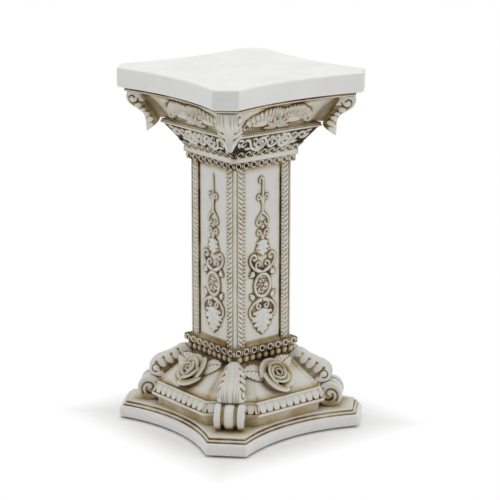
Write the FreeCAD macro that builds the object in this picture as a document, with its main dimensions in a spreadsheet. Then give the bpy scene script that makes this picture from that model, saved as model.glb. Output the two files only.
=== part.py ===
"""Column plant stand: a square cast pedestal with applied ornaments.

Millimetres, +Z up, origin at the centre of the foot on the floor. Each level is the one below plus a
height, so a changed size carries everything above it along. A side's ornament is drawn on the side that
faces -Y and a corner's ornament on the corner between +X and -Y, and turned copies serve the others.
"""
import FreeCAD
import Part
import Sketcher
import math
import os

from FreeCAD import Placement, Rotation, Vector

SIZES = (
    ("pad_radius", 7.0), ("pad_thickness", 0.8), ("pad_margin", 22.06),
    ("plinth_half", 63.06), ("plinth_cut", 18.0), ("plinth_hollow", 10.0),
    ("plinth_edge", 7.6), ("plinth_round", 2.4), ("plinth_land", 0.3), ("corner_softness", 0.4),
    ("step_height", 1.7), ("step_inset", 2.0),
    ("cove_inset", 3.7), ("cove_height", 6.8), ("cove_hollow", 0.9),
    ("lower_fillet_inset", 12.36), ("upper_fillet_inset", 15.76),
    ("fillet_height", 1.8), ("fillet_drop", 1.2),
    ("leaf_band_height", 5.0), ("slope_height", 18.2), ("slope_top_proud", 3.8), ("corner_offset", 7.3),
    ("dart_margin", 2.4), ("dart_strip_proud", 0.8), ("dart_width", 1.8), ("dart_height", 2.6),
    ("bead_core_proud", 2.4), ("bead_height", 5.3),
    ("bead_gap", 0.5), ("bead_spacing", 0.3), ("bead_sink", 0.2),
    ("collar_proud", 3.4), ("collar_height", 3.8), ("ring_proud", 1.0), ("ring_bore", 1.2),
    ("shaft_half", 21.2), ("shaft_height", 113.5), ("sill_height", 2.6), ("sill_depth", 2.6),
    ("corner_leg", 7.2), ("corner_web", 0.5), ("edge_width", 1.5), ("edge_rise", 0.5),
    ("rope_width", 3.0), ("rope_rise", 0.8), ("reed_width", 1.8), ("reed_rise", 0.6),
    ("neck_core_proud", 2.0), ("neck_ring_height", 4.2),
    ("neck_band_proud", 4.0), ("neck_band_height", 3.4),
    ("frieze_foot_proud", 2.8), ("frieze_top_half", 34.0), ("frieze_height", 14.2), ("frieze_proud", 1.2),
    ("capital_ring_height", 4.4), ("frieze_strip", 1.3),
    ("frieze_clearance", 0.5), ("frieze_scroll_step", 0.6),
    ("ledge_overhang", 0.4), ("ledge_height", 2.8), ("ledge_rise", 1.3),
    ("bell_inset", 1.4), ("bell_margin", 12.5), ("bell_height", 17.9), ("bell_hollow", 2.0),
    ("wing_proud", 1.3), ("wing_length", 17.5), ("wing_clearance", 3.2),
    ("wing_foot", 3.2), ("wing_lobe", 0.9),
    ("plate_height", 2.2), ("plate_inset", 3.0),
    ("slab_half", 59.0), ("slab_cut", 11.1), ("slab_hollow", 6.5),
    ("slab_height", 12.3), ("slab_round", 1.4),
    ("scroll_radius", 8.0), ("scroll_set", 0.4), ("scroll_half_width", 9.75),
    ("rim_bead_width", 4.6), ("rim_groove_width", 0.9), ("rim_groove_depth", 1.2), ("rim_roll_drop", 0.5),
    ("spiral_margin", 1.7), ("spiral_eye", 1.5), ("spiral_width", 0.7), ("spiral_depth", 0.8),
    ("curl_radius", 4.2), ("curl_set", 1.0), ("curl_half_width", 8.4), ("curl_rise", 4.8),
    ("leaf_top_proud", 6.2), ("leaf_top_rise", 1.0), ("leaf_top_half_width", 3.2),
    ("leaf_knee_set", 3.6), ("leaf_knee_rise", 3.3), ("leaf_lobe", 0.8),
    ("cap_scroll_radius", 4.6), ("cap_scroll_set", 0.4), ("cap_scroll_half_width", 7.5),
    ("cap_waist_set", 9.2), ("cap_waist_hollow", 1.6), ("cap_tail_drop", 5.6),
    ("cap_strap_half_width", 6.2), ("cap_tail_half_width", 2.4), ("cap_tail_set", 3.0),
    ("cap_spiral_margin", 1.1), ("cap_spiral_eye", 1.0), ("cap_spiral_width", 0.5),
    ("rose_radius", 10.2), ("rose_height", 7.4), ("rose_along", -2.0), ("rose_drop", 1.1),
    ("petal_thickness", 1.1),
    ("rose_leaf_length", 11.9), ("rose_leaf_width", 6.4), ("rose_leaf_thickness", 1.2),
    ("ornament_proud", 1.0), ("ornament_strip", 1.3), ("ornament_foot", 6.5), ("ornament_joint", 1.0),
    ("medallion_half_width", 6.8), ("medallion_half_height", 8.0), ("medallion_rim", 1.4),
    ("big_scroll_radius", 4.8), ("small_scroll_radius", 2.4),
    ("palmette_height", 9.0), ("palmette_width", 6.4), ("drop_leaf_height", 12.5), ("drop_leaf_width", 8.4),
    ("ornament_head", 8.3), ("heart_height", 7.5), ("heart_width", 5.4),
)
SIDES = 4
RINGS_PER_SIDE = 8
DARTS_PER_SIDE = 10
WING_LOBES = 5
SPIRAL_HALF_TURNS = 4
LEAF_LOBES = 3
ROSE_WHORLS = ((1.0, 0.52, 5), (0.7, 0.8, 4), (0.42, 1.0, 3))
ROSE_BUD = 0.2
PETAL_GAP = 8.0
QUARTER = 90.0
DIAGONAL = math.sqrt(0.5)
SAME_LEVEL = 1e-4
UP = Vector(0, 0, 1)

doc = FreeCAD.newDocument("column_plant_stand")
sheet = doc.addObject("Spreadsheet::Sheet", "sizes")
for row, (alias, number) in enumerate(SIZES, 1):
    sheet.set(f"A{row}", alias)
    sheet.set(f"B{row}", str(number))
    sheet.setAlias(f"B{row}", alias)
doc.recompute()


class Dim:
    """A length that carries both its expression for the document and its present value."""

    def __init__(self, text, value):
        self.text = text
        self.value = value

    def __add__(self, other):
        other = as_dim(other)
        return Dim(f"({self.text} + {other.text})", self.value + other.value)

    def __sub__(self, other):
        other = as_dim(other)
        return Dim(f"({self.text} - {other.text})", self.value - other.value)

    def __mul__(self, other):
        other = as_dim(other)
        return Dim(f"({self.text} * {other.text})", self.value * other.value)

    def __truediv__(self, other):
        other = as_dim(other)
        return Dim(f"({self.text} / {other.text})", self.value / other.value)

    def __neg__(self):
        return Dim(f"(0 - {self.text})", -self.value)


def as_dim(value):
    """A plain number as a Dim."""
    if isinstance(value, Dim):
        return value
    return Dim(f"({float(value)!r})", float(value))


def size(name):
    """The sheet's size of that name as a Dim."""
    return Dim(f"sizes.{name}", float(sheet.get(name)))


ZERO = as_dim(0)
PLINTH_FOOT = size("pad_thickness")
STEP_FOOT = PLINTH_FOOT + size("plinth_edge")
PLINTH_TOP = STEP_FOOT + size("step_height") * 2
COVE_TOP = PLINTH_TOP + size("cove_height")
LEAF_BAND_FOOT = COVE_TOP + size("fillet_height")
LEAF_BAND_TOP = LEAF_BAND_FOOT + size("leaf_band_height")
SLOPE_FOOT = LEAF_BAND_TOP + size("fillet_height")
BASE_TOP = SLOPE_FOOT + size("slope_height")
COLLAR_FOOT = BASE_TOP + size("bead_height")
COLLAR_TOP = COLLAR_FOOT + size("collar_height")
SHAFT_TOP = COLLAR_TOP + size("shaft_height")
NECK_BAND_FOOT = SHAFT_TOP + size("neck_ring_height")
NECK_TOP = NECK_BAND_FOOT + size("neck_band_height")
FRIEZE_TOP = NECK_TOP + size("frieze_height")
LEDGE_TOP = FRIEZE_TOP + size("ledge_height")
BELL_TOP = LEDGE_TOP + size("bell_height")
PLATE_TOP = BELL_TOP + size("plate_height")

LOWER_FILLET_HALF = size("plinth_half") - size("lower_fillet_inset")
UPPER_FILLET_HALF = size("plinth_half") - size("upper_fillet_inset")
LEAF_BAND_FOOT_HALF = LOWER_FILLET_HALF - size("fillet_drop")
LEAF_BAND_TOP_HALF = UPPER_FILLET_HALF - size("fillet_drop")
SLOPE_TOP_HALF = size("shaft_half") + size("slope_top_proud")
BEAD_CORE_HALF = size("shaft_half") + size("bead_core_proud")
BEAD_RADIUS = (size("bead_height") - size("bead_gap")) / 2
BEAD_PITCH = BEAD_RADIUS * 2 + size("bead_spacing")
COLLAR_HALF = size("shaft_half") + size("collar_proud")
NECK_CORE_HALF = size("shaft_half") + size("neck_core_proud")
NECK_BAND_HALF = size("shaft_half") + size("neck_band_proud")
FRIEZE_FOOT_HALF = size("shaft_half") + size("frieze_foot_proud")
FRIEZE_LEAN = (size("frieze_top_half") - FRIEZE_FOOT_HALF) / size("frieze_height")
LEDGE_HALF = size("frieze_top_half") + size("ledge_overhang")
LEDGE_CORNER = LEDGE_HALF * (2 * DIAGONAL)
BELL_FOOT_HALF = LEDGE_HALF - size("bell_inset")
BELL_TOP_HALF = size("slab_half") - size("bell_margin")
THROUGH = size("plinth_half") * 4

TILT = Rotation(Vector(1, 0, 0), QUARTER)
FRONT_FRAME = Placement(Vector(), TILT)
SIDE_FRAME = Placement(Vector(), Rotation(UP, QUARTER) * TILT)
CORNER_FRAME = Placement(Vector(), Rotation(UP, -QUARTER / 2) * TILT)
CORNER_PLAN_FRAME = Placement(Vector(), Rotation(UP, -QUARTER / 2))
CORNER_FRONT_FRAME = Placement(Vector(), Rotation(UP, QUARTER / 2) * TILT)

sub_parts = []


def keep(part, label):
    """Name a finished sub-part and put it on the list of pieces."""
    part.Label = label
    sub_parts.append(part)
    return part


def bind(item, sizes):
    """Tie properties of a document object to expressions."""
    for name, dim in sizes.items():
        item.setExpression(name, dim.text)


def fix(sketch, kind, dim, *terms):
    """Add one dimension to a sketch and tie it to an expression."""
    index = sketch.addConstraint(Sketcher.Constraint(kind, *terms, dim.value))
    sketch.setExpression(f"Constraints[{index}]", dim.text)


def fix_point(sketch, edge, end, x, y):
    """Tie a point of a sketch's edge to its place."""
    fix(sketch, "DistanceX", x, -1, 1, edge, end)
    fix(sketch, "DistanceY", y, -1, 1, edge, end)


def arc_through(start, end, rise):
    """Circular arc from start to end that bulges by rise to the right of that direction."""
    chord = end - start
    radius = ((chord.Length / 2) ** 2 + rise ** 2) / (2 * abs(rise))
    side = Vector(chord.y, -chord.x, 0).normalize()
    centre = (start + end) * 0.5 + side * (rise - math.copysign(radius, rise))
    first, last = (start, end) if rise > 0 else (end, start)
    first_angle = math.atan2(first.y - centre.y, first.x - centre.x)
    last_angle = math.atan2(last.y - centre.y, last.x - centre.x)
    if last_angle < first_angle:
        last_angle += 2 * math.pi
    return Part.ArcOfCircle(Part.Circle(centre, UP, radius), first_angle, last_angle)


def draw(sketch, corners, rises=None):
    """Closed outline through corners, where rises gives an edge's bulge to the right of its direction."""
    rises = rises or {}
    count = len(corners)
    base = sketch.GeometryCount
    edges = []
    for i, (x, y) in enumerate(corners):
        far_x, far_y = corners[(i + 1) % count]
        start = Vector(x.value, y.value, 0)
        end = Vector(far_x.value, far_y.value, 0)
        if i in rises:
            edges.append(arc_through(start, end, rises[i].value))
        else:
            edges.append(Part.LineSegment(start, end))
    sketch.addGeometry(edges, False)
    starts = [2 if i in rises and rises[i].value < 0 else 1 for i in range(count)]
    for i, (x, y) in enumerate(corners):
        before = (i - 1) % count
        joint = (base + before, 3 - starts[before], base + i, starts[i])
        sketch.addConstraint(Sketcher.Constraint("Coincident", *joint))
        fix_point(sketch, base + i, starts[i], x, y)
    for i, rise in rises.items():
        x, y = corners[i]
        far_x, far_y = corners[(i + 1) % count]
        height = rise if rise.value > 0 else -rise
        chord_squared = (far_x - x) * (far_x - x) + (far_y - y) * (far_y - y)
        fix(sketch, "Radius", (chord_squared / 4 + height * height) / (height * 2), base + i)


def outline(name, frame, corners, rises=None):
    """A sketch that stands by itself in the given frame."""
    sketch = doc.addObject("Sketcher::SketchObject", name)
    sketch.Placement = frame
    draw(sketch, corners, rises)
    return sketch


def extruded(sketch, length, both_sides=True):
    """Solid of a sketch, spread evenly to both sides of its plane or raised on one."""
    solid = doc.addObject("Part::Extrusion", f"{sketch.Name}_solid")
    solid.Base = sketch
    solid.DirMode = "Normal"
    solid.Symmetric = both_sides
    solid.Solid = True
    bind(solid, {"LengthFwd": length})
    return solid


def turned(source, quarters, name="turned"):
    """Copy of an object, turned by quarter turns about the upright axis."""
    return group([source], name, Placement(Vector(), Rotation(UP, QUARTER * quarters)))


def group(members, name, frame=Placement()):
    """Several objects together, each still a solid of its own."""
    together = doc.addObject("Part::Compound", name)
    together.Links = members
    together.Placement = frame
    return together


def combine(kind, name, members):
    """Union or intersection of several objects."""
    whole = doc.addObject(kind, name)
    whole.Shapes = members
    return whole


def fused(name, members):
    """Several objects made one."""
    return combine("Part::MultiFuse", name, members)


def common(name, members):
    """What several objects share."""
    return combine("Part::MultiCommon", name, members)


def cut(body, *tools):
    """What is left of a body where the tools are taken away."""
    for tool in tools:
        rest = doc.addObject("Part::Cut", f"{body.Name}_cut")
        rest.Base = body
        rest.Tool = tool
        body = rest
    return body


def four_sides(source, label):
    """The drawn piece and its three turned copies, each a piece of its own."""
    for quarter in range(SIDES):
        keep(turned(source, quarter, f"{label}_{quarter + 1}"), f"{label}_{quarter + 1}")


def run(name, frame, profile, rises=None):
    """Straight run of a profile, given as its right half from foot to top and closed by its mirror image."""
    last = 2 * len(profile) - 2
    mirrored = profile + [(-x, z) for x, z in reversed(profile)]
    both = {}
    for i, rise in (rises or {}).items():
        both[i] = rise
        both[last - i] = rise
    return extruded(outline(name, frame, mirrored, both), THROUGH)


def moulding(name, profile, rises=None, corner_offset=None):
    """Square moulding: what two crossing runs of one profile share, so that its corners are mitred.

    With a corner offset, two more runs across the diagonals cut the corners off that much further out
    than the sides.
    """
    along = run(f"{name}_run", FRONT_FRAME, profile, rises)
    runs = [along, turned(along, 1)]
    if corner_offset:
        wider = [(x + corner_offset, z) for x, z in profile]
        across = run(f"{name}_corner_run", CORNER_FRAME, wider, rises)
        runs += [across, turned(across, 1)]
    return common(name, runs)


def octagon(half, corner_cut, hollow):
    """Square outline with cut corners and hollowed sides."""
    near = half - corner_cut
    corners = [(near, -half), (half, -near), (half, near), (near, half)]
    corners += [(-x, -y) for x, y in corners]
    return corners, {i: -hollow for i in range(1, len(corners), 2)}


def pad_on(body, name, outline_of, foot, height):
    """Raise an outline from a level of the body by a height."""
    sketch = body.newObject("Sketcher::SketchObject", f"{name}_outline")
    plane = next(item for item in body.Origin.OriginFeatures if item.Role == "XY_Plane")
    sketch.AttachmentSupport = [(plane, "")]
    sketch.MapMode = "FlatFace"
    bind(sketch, {"AttachmentOffset.Base.z": foot})
    draw(sketch, *outline_of)
    pad = body.newObject("PartDesign::Pad", name)
    pad.Profile = sketch
    bind(pad, {"Length": height})
    doc.recompute()
    return pad


def round_edges(body, name, pad, radius, upright):
    """Round either the upright edges of a pad or the outlines at its foot and top."""
    names = []
    for i, edge in enumerate(pad.Shape.Edges, 1):
        if (edge.BoundBox.ZLength > SAME_LEVEL) == upright:
            names.append(f"Edge{i}")
    fillet = body.newObject("PartDesign::Fillet", name)
    fillet.Base = (pad, names)
    bind(fillet, {"Radius": radius})
    doc.recompute()
    return fillet


def soften(body, pad, radius):
    """Round a pad all over, its corners a little more than its outlines so that the roundings run on."""
    corners = round_edges(body, f"{pad.Name}_corners", pad, radius + size("corner_softness"), upright=True)
    round_edges(body, f"{pad.Name}_rounding", corners, radius, upright=False)


def felt_pads():
    """Four felt discs under the plinth's corners."""
    discs = []
    for x, y in ((1, 1), (1, -1), (-1, -1), (-1, 1)):
        disc = doc.addObject("Part::Cylinder", "felt_disc")
        bind(disc, {"Radius": size("pad_radius"), "Height": size("pad_thickness")})
        reach = size("plinth_half") - size("pad_margin")
        bind(disc, {"Placement.Base.x": reach * x, "Placement.Base.y": reach * y})
        discs.append(disc)
    return keep(group(discs, "felt_pads"), "felt_pads")


def plinth():
    """Foot slab with a rounded edge and two thin steps on top."""
    body = doc.addObject("PartDesign::Body", "plinth")
    half = size("plinth_half")
    edge = pad_on(body, "plinth_edge", octagon(half, size("plinth_cut"), size("plinth_hollow")),
                  PLINTH_FOOT, size("plinth_edge"))
    soften(body, edge, size("plinth_round"))
    inset = size("plinth_round") + size("plinth_land")
    level = STEP_FOOT
    for step in ("lower_step", "upper_step"):
        corner_cut = size("plinth_cut") - inset * (2 - 2 * DIAGONAL)
        corners = octagon(half - inset, corner_cut, size("plinth_hollow"))
        pad_on(body, step, corners, level, size("step_height"))
        inset = inset + size("step_inset")
        level = level + size("step_height")
    return keep(body, "plinth")


def base_block():
    """Cove, lower fillet, leaf band, upper fillet and slope, the corners cut off behind the volutes."""
    low = LOWER_FILLET_HALF
    high = UPPER_FILLET_HALF
    profile = [
        (low - size("cove_inset"), PLINTH_TOP),
        (LEAF_BAND_FOOT_HALF, COVE_TOP),
        (low, COVE_TOP),
        (low, LEAF_BAND_FOOT),
        (LEAF_BAND_FOOT_HALF, LEAF_BAND_FOOT),
        (LEAF_BAND_TOP_HALF, LEAF_BAND_TOP),
        (high, LEAF_BAND_TOP),
        (high, SLOPE_FOOT),
        (LEAF_BAND_TOP_HALF, SLOPE_FOOT),
        (SLOPE_TOP_HALF, BASE_TOP),
    ]
    block = moulding("base_block", profile, {0: -size("cove_hollow")}, size("corner_offset"))
    return keep(block, "base_block")


def base_collar():
    """Recess that backs the beads, and the band that backs the rings."""
    profile = [
        (BEAD_CORE_HALF, BASE_TOP),
        (BEAD_CORE_HALF, COLLAR_FOOT),
        (COLLAR_HALF, COLLAR_FOOT),
        (COLLAR_HALF, COLLAR_TOP),
    ]
    return keep(moulding("base_collar", profile), "base_collar")


def shaft():
    """Plain square shaft."""
    body = doc.addObject("PartDesign::Body", "shaft")
    half = size("shaft_half")
    square = [(half, -half), (half, half), (-half, half), (-half, -half)]
    pad_on(body, "shaft_run", (square, None), COLLAR_TOP, size("shaft_height"))
    return keep(body, "shaft")


def panel_sills():
    """Sloped sills at the foot of the panels, between the corner mouldings."""
    half = size("shaft_half")
    section = [
        (-half, COLLAR_TOP),
        (-half, COLLAR_TOP + size("sill_height")),
        (-half - size("sill_depth"), COLLAR_TOP),
    ]
    sill = extruded(outline("sill_section", SIDE_FRAME, section), (half - size("corner_leg")) * 2)
    return keep(group([turned(sill, quarter) for quarter in range(SIDES)], "panel_sills"), "panel_sills")


def neck_collar():
    """Core of the lower rings and the plain flat band above it."""
    profile = [
        (NECK_CORE_HALF, SHAFT_TOP),
        (NECK_CORE_HALF, NECK_BAND_FOOT),
        (NECK_BAND_HALF, NECK_BAND_FOOT),
        (NECK_BAND_HALF, NECK_TOP),
    ]
    return keep(moulding("neck_collar", profile), "neck_collar")


def capital_bell():
    """Slope of the frieze, ledge, and hollow bell that flares to the plate."""
    profile = [
        (FRIEZE_FOOT_HALF, NECK_TOP),
        (size("frieze_top_half"), FRIEZE_TOP),
        (LEDGE_HALF, FRIEZE_TOP),
        (LEDGE_HALF, LEDGE_TOP),
        (BELL_FOOT_HALF, LEDGE_TOP),
        (BELL_TOP_HALF, BELL_TOP),
    ]
    return keep(moulding("capital_bell", profile, {4: -size("bell_hollow")}), "capital_bell")


def capital_plate():
    """Thin plate under the top slab."""
    body = doc.addObject("PartDesign::Body", "capital_plate")
    inset = size("plate_inset")
    corner_cut = size("slab_cut") - inset * (2 - 2 * DIAGONAL)
    shape = octagon(size("slab_half") - inset, corner_cut, size("slab_hollow"))
    pad_on(body, "plate_run", shape, BELL_TOP, size("plate_height"))
    return keep(body, "capital_plate")


def top_slab():
    """Top with hollowed sides, cut corners and softened edges."""
    body = doc.addObject("PartDesign::Body", "top_slab")
    shape = octagon(size("slab_half"), size("slab_cut"), size("slab_hollow"))
    pad = pad_on(body, "slab_run", shape, PLATE_TOP, size("slab_height"))
    soften(body, pad, size("slab_round"))
    return keep(body, "top_slab")


def ring_band(label, profile, core):
    """Strip round a core, pierced by a row of round bores on each side."""
    strip = cut(moulding(f"{label}_strip", profile), core)
    (foot_half, foot), (top_half, top) = profile
    pitch = foot_half * 2 / (RINGS_PER_SIDE + DIAGONAL)
    sketch = doc.addObject("Sketcher::SketchObject", f"{label}_bores")
    sketch.Placement = FRONT_FRAME
    level = (foot + top) / 2
    for i in range(RINGS_PER_SIDE):
        x = pitch * (i - (RINGS_PER_SIDE - 1) / 2)
        circle = Part.Circle(Vector(x.value, level.value, 0), UP, size("ring_bore").value)
        edge = sketch.addGeometry(circle, False)
        fix_point(sketch, edge, 3, x, level)
        fix(sketch, "Radius", size("ring_bore"), edge)
    bores = extruded(sketch, THROUGH)
    return keep(cut(strip, bores, turned(bores, 1)), label)


def base_bead_course(collar):
    """Row of beads half sunk in the recess under the ring band."""
    beads = []
    count = int(BEAD_CORE_HALF.value * 2 / BEAD_PITCH.value)
    for i in range(count):
        bead = doc.addObject("Part::Sphere", "bead")
        bind(bead, {
            "Radius": BEAD_RADIUS,
            "Placement.Base.x": BEAD_PITCH * (i - (count - 1) / 2),
            "Placement.Base.y": size("bead_sink") - BEAD_CORE_HALF,
            "Placement.Base.z": BASE_TOP + size("bead_height") / 2,
        })
        beads.append(bead)
    row = cut(group(beads, "bead_row"), collar)
    rows = [turned(row, quarter) for quarter in range(SIDES)]
    return keep(group(rows, "bead_course"), "base_bead_course")


def base_leaf_band():
    """Leaf strip on each side of the band, with darts cut in between its leaves."""
    proud = size("dart_strip_proud")
    section = [
        (-LEAF_BAND_FOOT_HALF, LEAF_BAND_FOOT),
        (-LEAF_BAND_TOP_HALF, LEAF_BAND_TOP),
        (-LEAF_BAND_TOP_HALF - proud, LEAF_BAND_TOP),
        (-LEAF_BAND_FOOT_HALF - proud, LEAF_BAND_FOOT),
    ]
    corner = (LEAF_BAND_TOP_HALF + size("corner_offset")) * (2 * DIAGONAL) - LEAF_BAND_TOP_HALF
    length = (corner - size("dart_margin")) * 2
    strip = extruded(outline("leaf_strip", SIDE_FRAME, section), length)
    sketch = doc.addObject("Sketcher::SketchObject", "darts")
    sketch.Placement = FRONT_FRAME
    pitch = length / (DARTS_PER_SIDE + 1)
    for i in range(DARTS_PER_SIDE):
        x = pitch * (i - (DARTS_PER_SIDE - 1) / 2)
        half = size("dart_width") / 2
        tip = (x, LEAF_BAND_FOOT + size("dart_height"))
        draw(sketch, [(x - half, LEAF_BAND_FOOT), (x + half, LEAF_BAND_FOOT), tip])
    strip = cut(strip, extruded(sketch, THROUGH))
    return keep(group([turned(strip, quarter) for quarter in range(SIDES)], "leaf_band"), "base_leaf_band")


def corner_rope():
    """Angle moulding on a corner of the shaft: an edge bead, and a rope and a reed on either side of it."""
    half = size("shaft_half")
    face = half + size("corner_web")
    inner = half - size("corner_leg")
    reed = inner + size("reed_width")
    gap = (face - size("edge_width") - size("rope_width") - reed) / 2
    rope = reed + gap
    rope_end = rope + size("rope_width")
    edge = face - size("edge_width")
    leg = [(inner, half), (inner, face), (reed, face), (rope, face), (rope_end, face), (edge, face)]
    corners = leg + [(y, x) for x, y in reversed(leg)] + [(half, half)]
    last = 2 * len(leg) - 2
    rises = {len(leg) - 1: -(size("edge_width") * DIAGONAL + size("edge_rise"))}
    for i, name in ((1, "reed_rise"), (3, "rope_rise")):
        rises[i] = -size(name)
        rises[last - i] = -size(name)
    sketch = outline("corner_rope_section", Placement(), corners, rises)
    bind(sketch, {"Placement.Base.z": COLLAR_TOP})
    four_sides(extruded(sketch, size("shaft_height"), both_sides=False), "corner_rope")


def corner_cylinder(name, radius, low, high, reach, level):
    """Cylinder across the front corner's diagonal, between two distances to the side of it."""
    cylinder = doc.addObject("Part::Cylinder", name)
    cylinder.Placement = Placement(Vector(), Rotation(UP, Vector(1, 1, 0)))
    bind(cylinder, {
        "Radius": radius,
        "Height": high - low,
        "Placement.Base.x": (reach + low) * DIAGONAL,
        "Placement.Base.y": (low - reach) * DIAGONAL,
        "Placement.Base.z": level,
    })
    return cylinder


def half_circle(centre, level, radius, turn):
    """Half circle that leaves the centre's level on one side and comes back to it on the other."""
    ends = [Vector(centre + side * turn * radius, level, 0) for side in (1, -1)]
    return Part.Arc(ends[0], Vector(centre, level + turn * radius, 0), ends[1]).toShape()


def spiral_grooves(name, reach, level, half_width, outer, eye, width, depth):
    """Grooves in both cheeks of a volute: a spiral of half circles, each smaller by the same step."""
    step = (outer - eye) / (SPIRAL_HALF_TURNS - 1)
    edges = []
    ends = []
    for radius in (outer, outer - width):
        centre = reach
        turn = 1
        for _ in range(SPIRAL_HALF_TURNS):
            edges.append(half_circle(centre, level, radius, turn))
            centre -= turn * step
            radius -= step
            turn = -turn
        ends.append(edges[-1].Vertexes[-1].Point)
    starts = [edges[0].Vertexes[0].Point, edges[SPIRAL_HALF_TURNS].Vertexes[0].Point]
    edges += [Part.makeLine(*starts), Part.makeLine(*ends)]
    face = Part.Face(Part.Wire(Part.__sortEdges__(edges)))
    cheeks = []
    for foot in (-half_width, half_width - depth):
        groove = face.extrude(Vector(0, 0, depth))
        groove.translate(Vector(0, 0, foot))
        cheeks.append(groove)
    tool = doc.addObject("Part::Feature", name)
    tool.Shape = Part.makeCompound(cheeks)
    tool.Placement = CORNER_FRAME
    return tool


def base_corner_scroll(block):
    """Large volute on the plinth: two edge beads and a roll on its rim, a spiral in each cheek."""
    radius = size("scroll_radius")
    wide = size("scroll_half_width")
    reach = LOWER_FILLET_HALF + size("corner_offset") - size("scroll_set")
    level = PLINTH_TOP + radius
    bead = size("rim_bead_width")
    roll = wide - bead - size("rim_groove_width")
    members = [
        corner_cylinder("rim_bead", radius, -wide, bead - wide, reach, level),
        corner_cylinder("rim_bead", radius, wide - bead, wide, reach, level),
        corner_cylinder("rim_core", radius - size("rim_groove_depth"), -wide, wide, reach, level),
        corner_cylinder("rim_roll", radius - size("rim_roll_drop"), -roll, roll, reach, level),
    ]
    grooves = spiral_grooves("scroll_spirals", reach.value, level.value, wide.value,
                             radius.value - size("spiral_margin").value, size("spiral_eye").value,
                             size("spiral_width").value, size("spiral_depth").value)
    scroll = cut(fused("base_scroll", members), grooves, block)
    four_sides(scroll, "base_corner_scroll")
    return scroll


def base_corner_leaf(*neighbours):
    """Acanthus leaf on the slope's corner: it widens downwards and ends in a curl."""
    radius = size("curl_radius")
    wide = size("curl_half_width")
    reach = UPPER_FILLET_HALF + size("corner_offset") - size("curl_set")
    level = SLOPE_FOOT + size("curl_rise")
    inside = BEAD_CORE_HALF
    top = BASE_TOP + size("leaf_top_rise")
    top_reach = SLOPE_TOP_HALF + size("corner_offset") + size("leaf_top_proud")
    knee = (reach - size("leaf_knee_set"), level + radius + size("leaf_knee_rise"))
    side_view = [
        (inside, top), (inside, level), (reach - radius, level), (reach, level),
        (reach, level + radius), knee, (top_reach, top),
    ]
    narrow = size("leaf_top_half_width")
    edge = [(inside, narrow)]
    for i in range(LEAF_LOBES + 1):
        share = i / LEAF_LOBES
        edge.append((top_reach + (reach - radius - top_reach) * share, narrow + (wide - narrow) * share))
    edge.append((reach, wide))
    plan = [(x, -y) for x, y in edge] + list(reversed(edge))
    last = len(plan) - 2
    lobes = {}
    for i in range(1, LEAF_LOBES + 1):
        lobes[i] = size("leaf_lobe")
        lobes[last - i] = size("leaf_lobe")
    blade = common("leaf_blade", [
        extruded(outline("leaf_side", CORNER_FRAME, side_view), (wide + size("leaf_lobe")) * 2),
        extruded(outline("leaf_plan", CORNER_PLAN_FRAME, plan, lobes), THROUGH),
    ])
    curl = corner_cylinder("leaf_curl", radius, -wide, wide, reach, level)
    grooves = spiral_grooves("curl_spirals", reach.value, level.value, wide.value,
                             radius.value - size("cap_spiral_margin").value, size("cap_spiral_eye").value,
                             size("cap_spiral_width").value, size("spiral_depth").value)
    four_sides(cut(fused("corner_leaf", [blade, curl]), grooves, *neighbours), "base_corner_leaf")


def capital_corner_scroll(*neighbours):
    """Scroll under the top's corner: a volute against the plate, a waist, and a tail that hangs free."""
    radius = size("cap_scroll_radius")
    wide = size("cap_scroll_half_width")
    reach = BELL_TOP_HALF * (2 * DIAGONAL) + size("cap_scroll_set")
    level = BELL_TOP - radius
    waist = LEDGE_TOP
    waist_reach = LEDGE_CORNER + size("cap_waist_set")
    tail = FRIEZE_TOP - size("cap_tail_drop")
    inside = LEDGE_HALF
    side_view = [
        (reach, level - radius), (waist_reach, waist), (waist_reach, tail),
        (LEDGE_CORNER + size("cap_tail_set"), FRIEZE_TOP), (inside, FRIEZE_TOP),
        (inside, level), (reach, level),
    ]
    strap = size("cap_strap_half_width")
    narrow = size("cap_tail_half_width")
    edge = [(narrow, tail), (strap, waist), (strap, BELL_TOP)]
    front_view = edge + [(-x, z) for x, z in reversed(edge)]
    body = common("cap_strap", [
        extruded(outline("cap_side", CORNER_FRAME, side_view, {0: size("cap_waist_hollow")}), strap * 2),
        extruded(outline("cap_front", CORNER_FRONT_FRAME, front_view), THROUGH),
    ])
    volute = corner_cylinder("cap_volute", radius, -wide, wide, reach, level)
    grooves = spiral_grooves("cap_spirals", reach.value, level.value, wide.value,
                             radius.value - size("cap_spiral_margin").value, size("cap_spiral_eye").value,
                             size("cap_spiral_width").value, size("spiral_depth").value)
    four_sides(cut(fused("cap_scroll", [body, volute]), grooves, *neighbours), "capital_corner_scroll")


def hook(name, frame, centre, level, radius, strip, start, sweep):
    """Flat C-scroll: a strip bent round a centre, from a start angle through a sweep in degrees."""
    ends = [math.radians(start), math.radians(start + sweep)]
    inner = radius - strip
    bulge = 1 - math.cos(math.radians(sweep) / 2)
    corners = []
    for reach, angles in ((radius, ends), (inner, ends[::-1])):
        corners += [(centre + reach * math.cos(a), level + reach * math.sin(a)) for a in angles]
    return outline(name, frame, corners, {0: radius * bulge, 2: -(inner * bulge)})


def lens(name, frame, foot, tip, width):
    """Pointed leaf between two points."""
    return outline(name, frame, [foot, tip], {0: width / 2, 1: width / 2})


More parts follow.
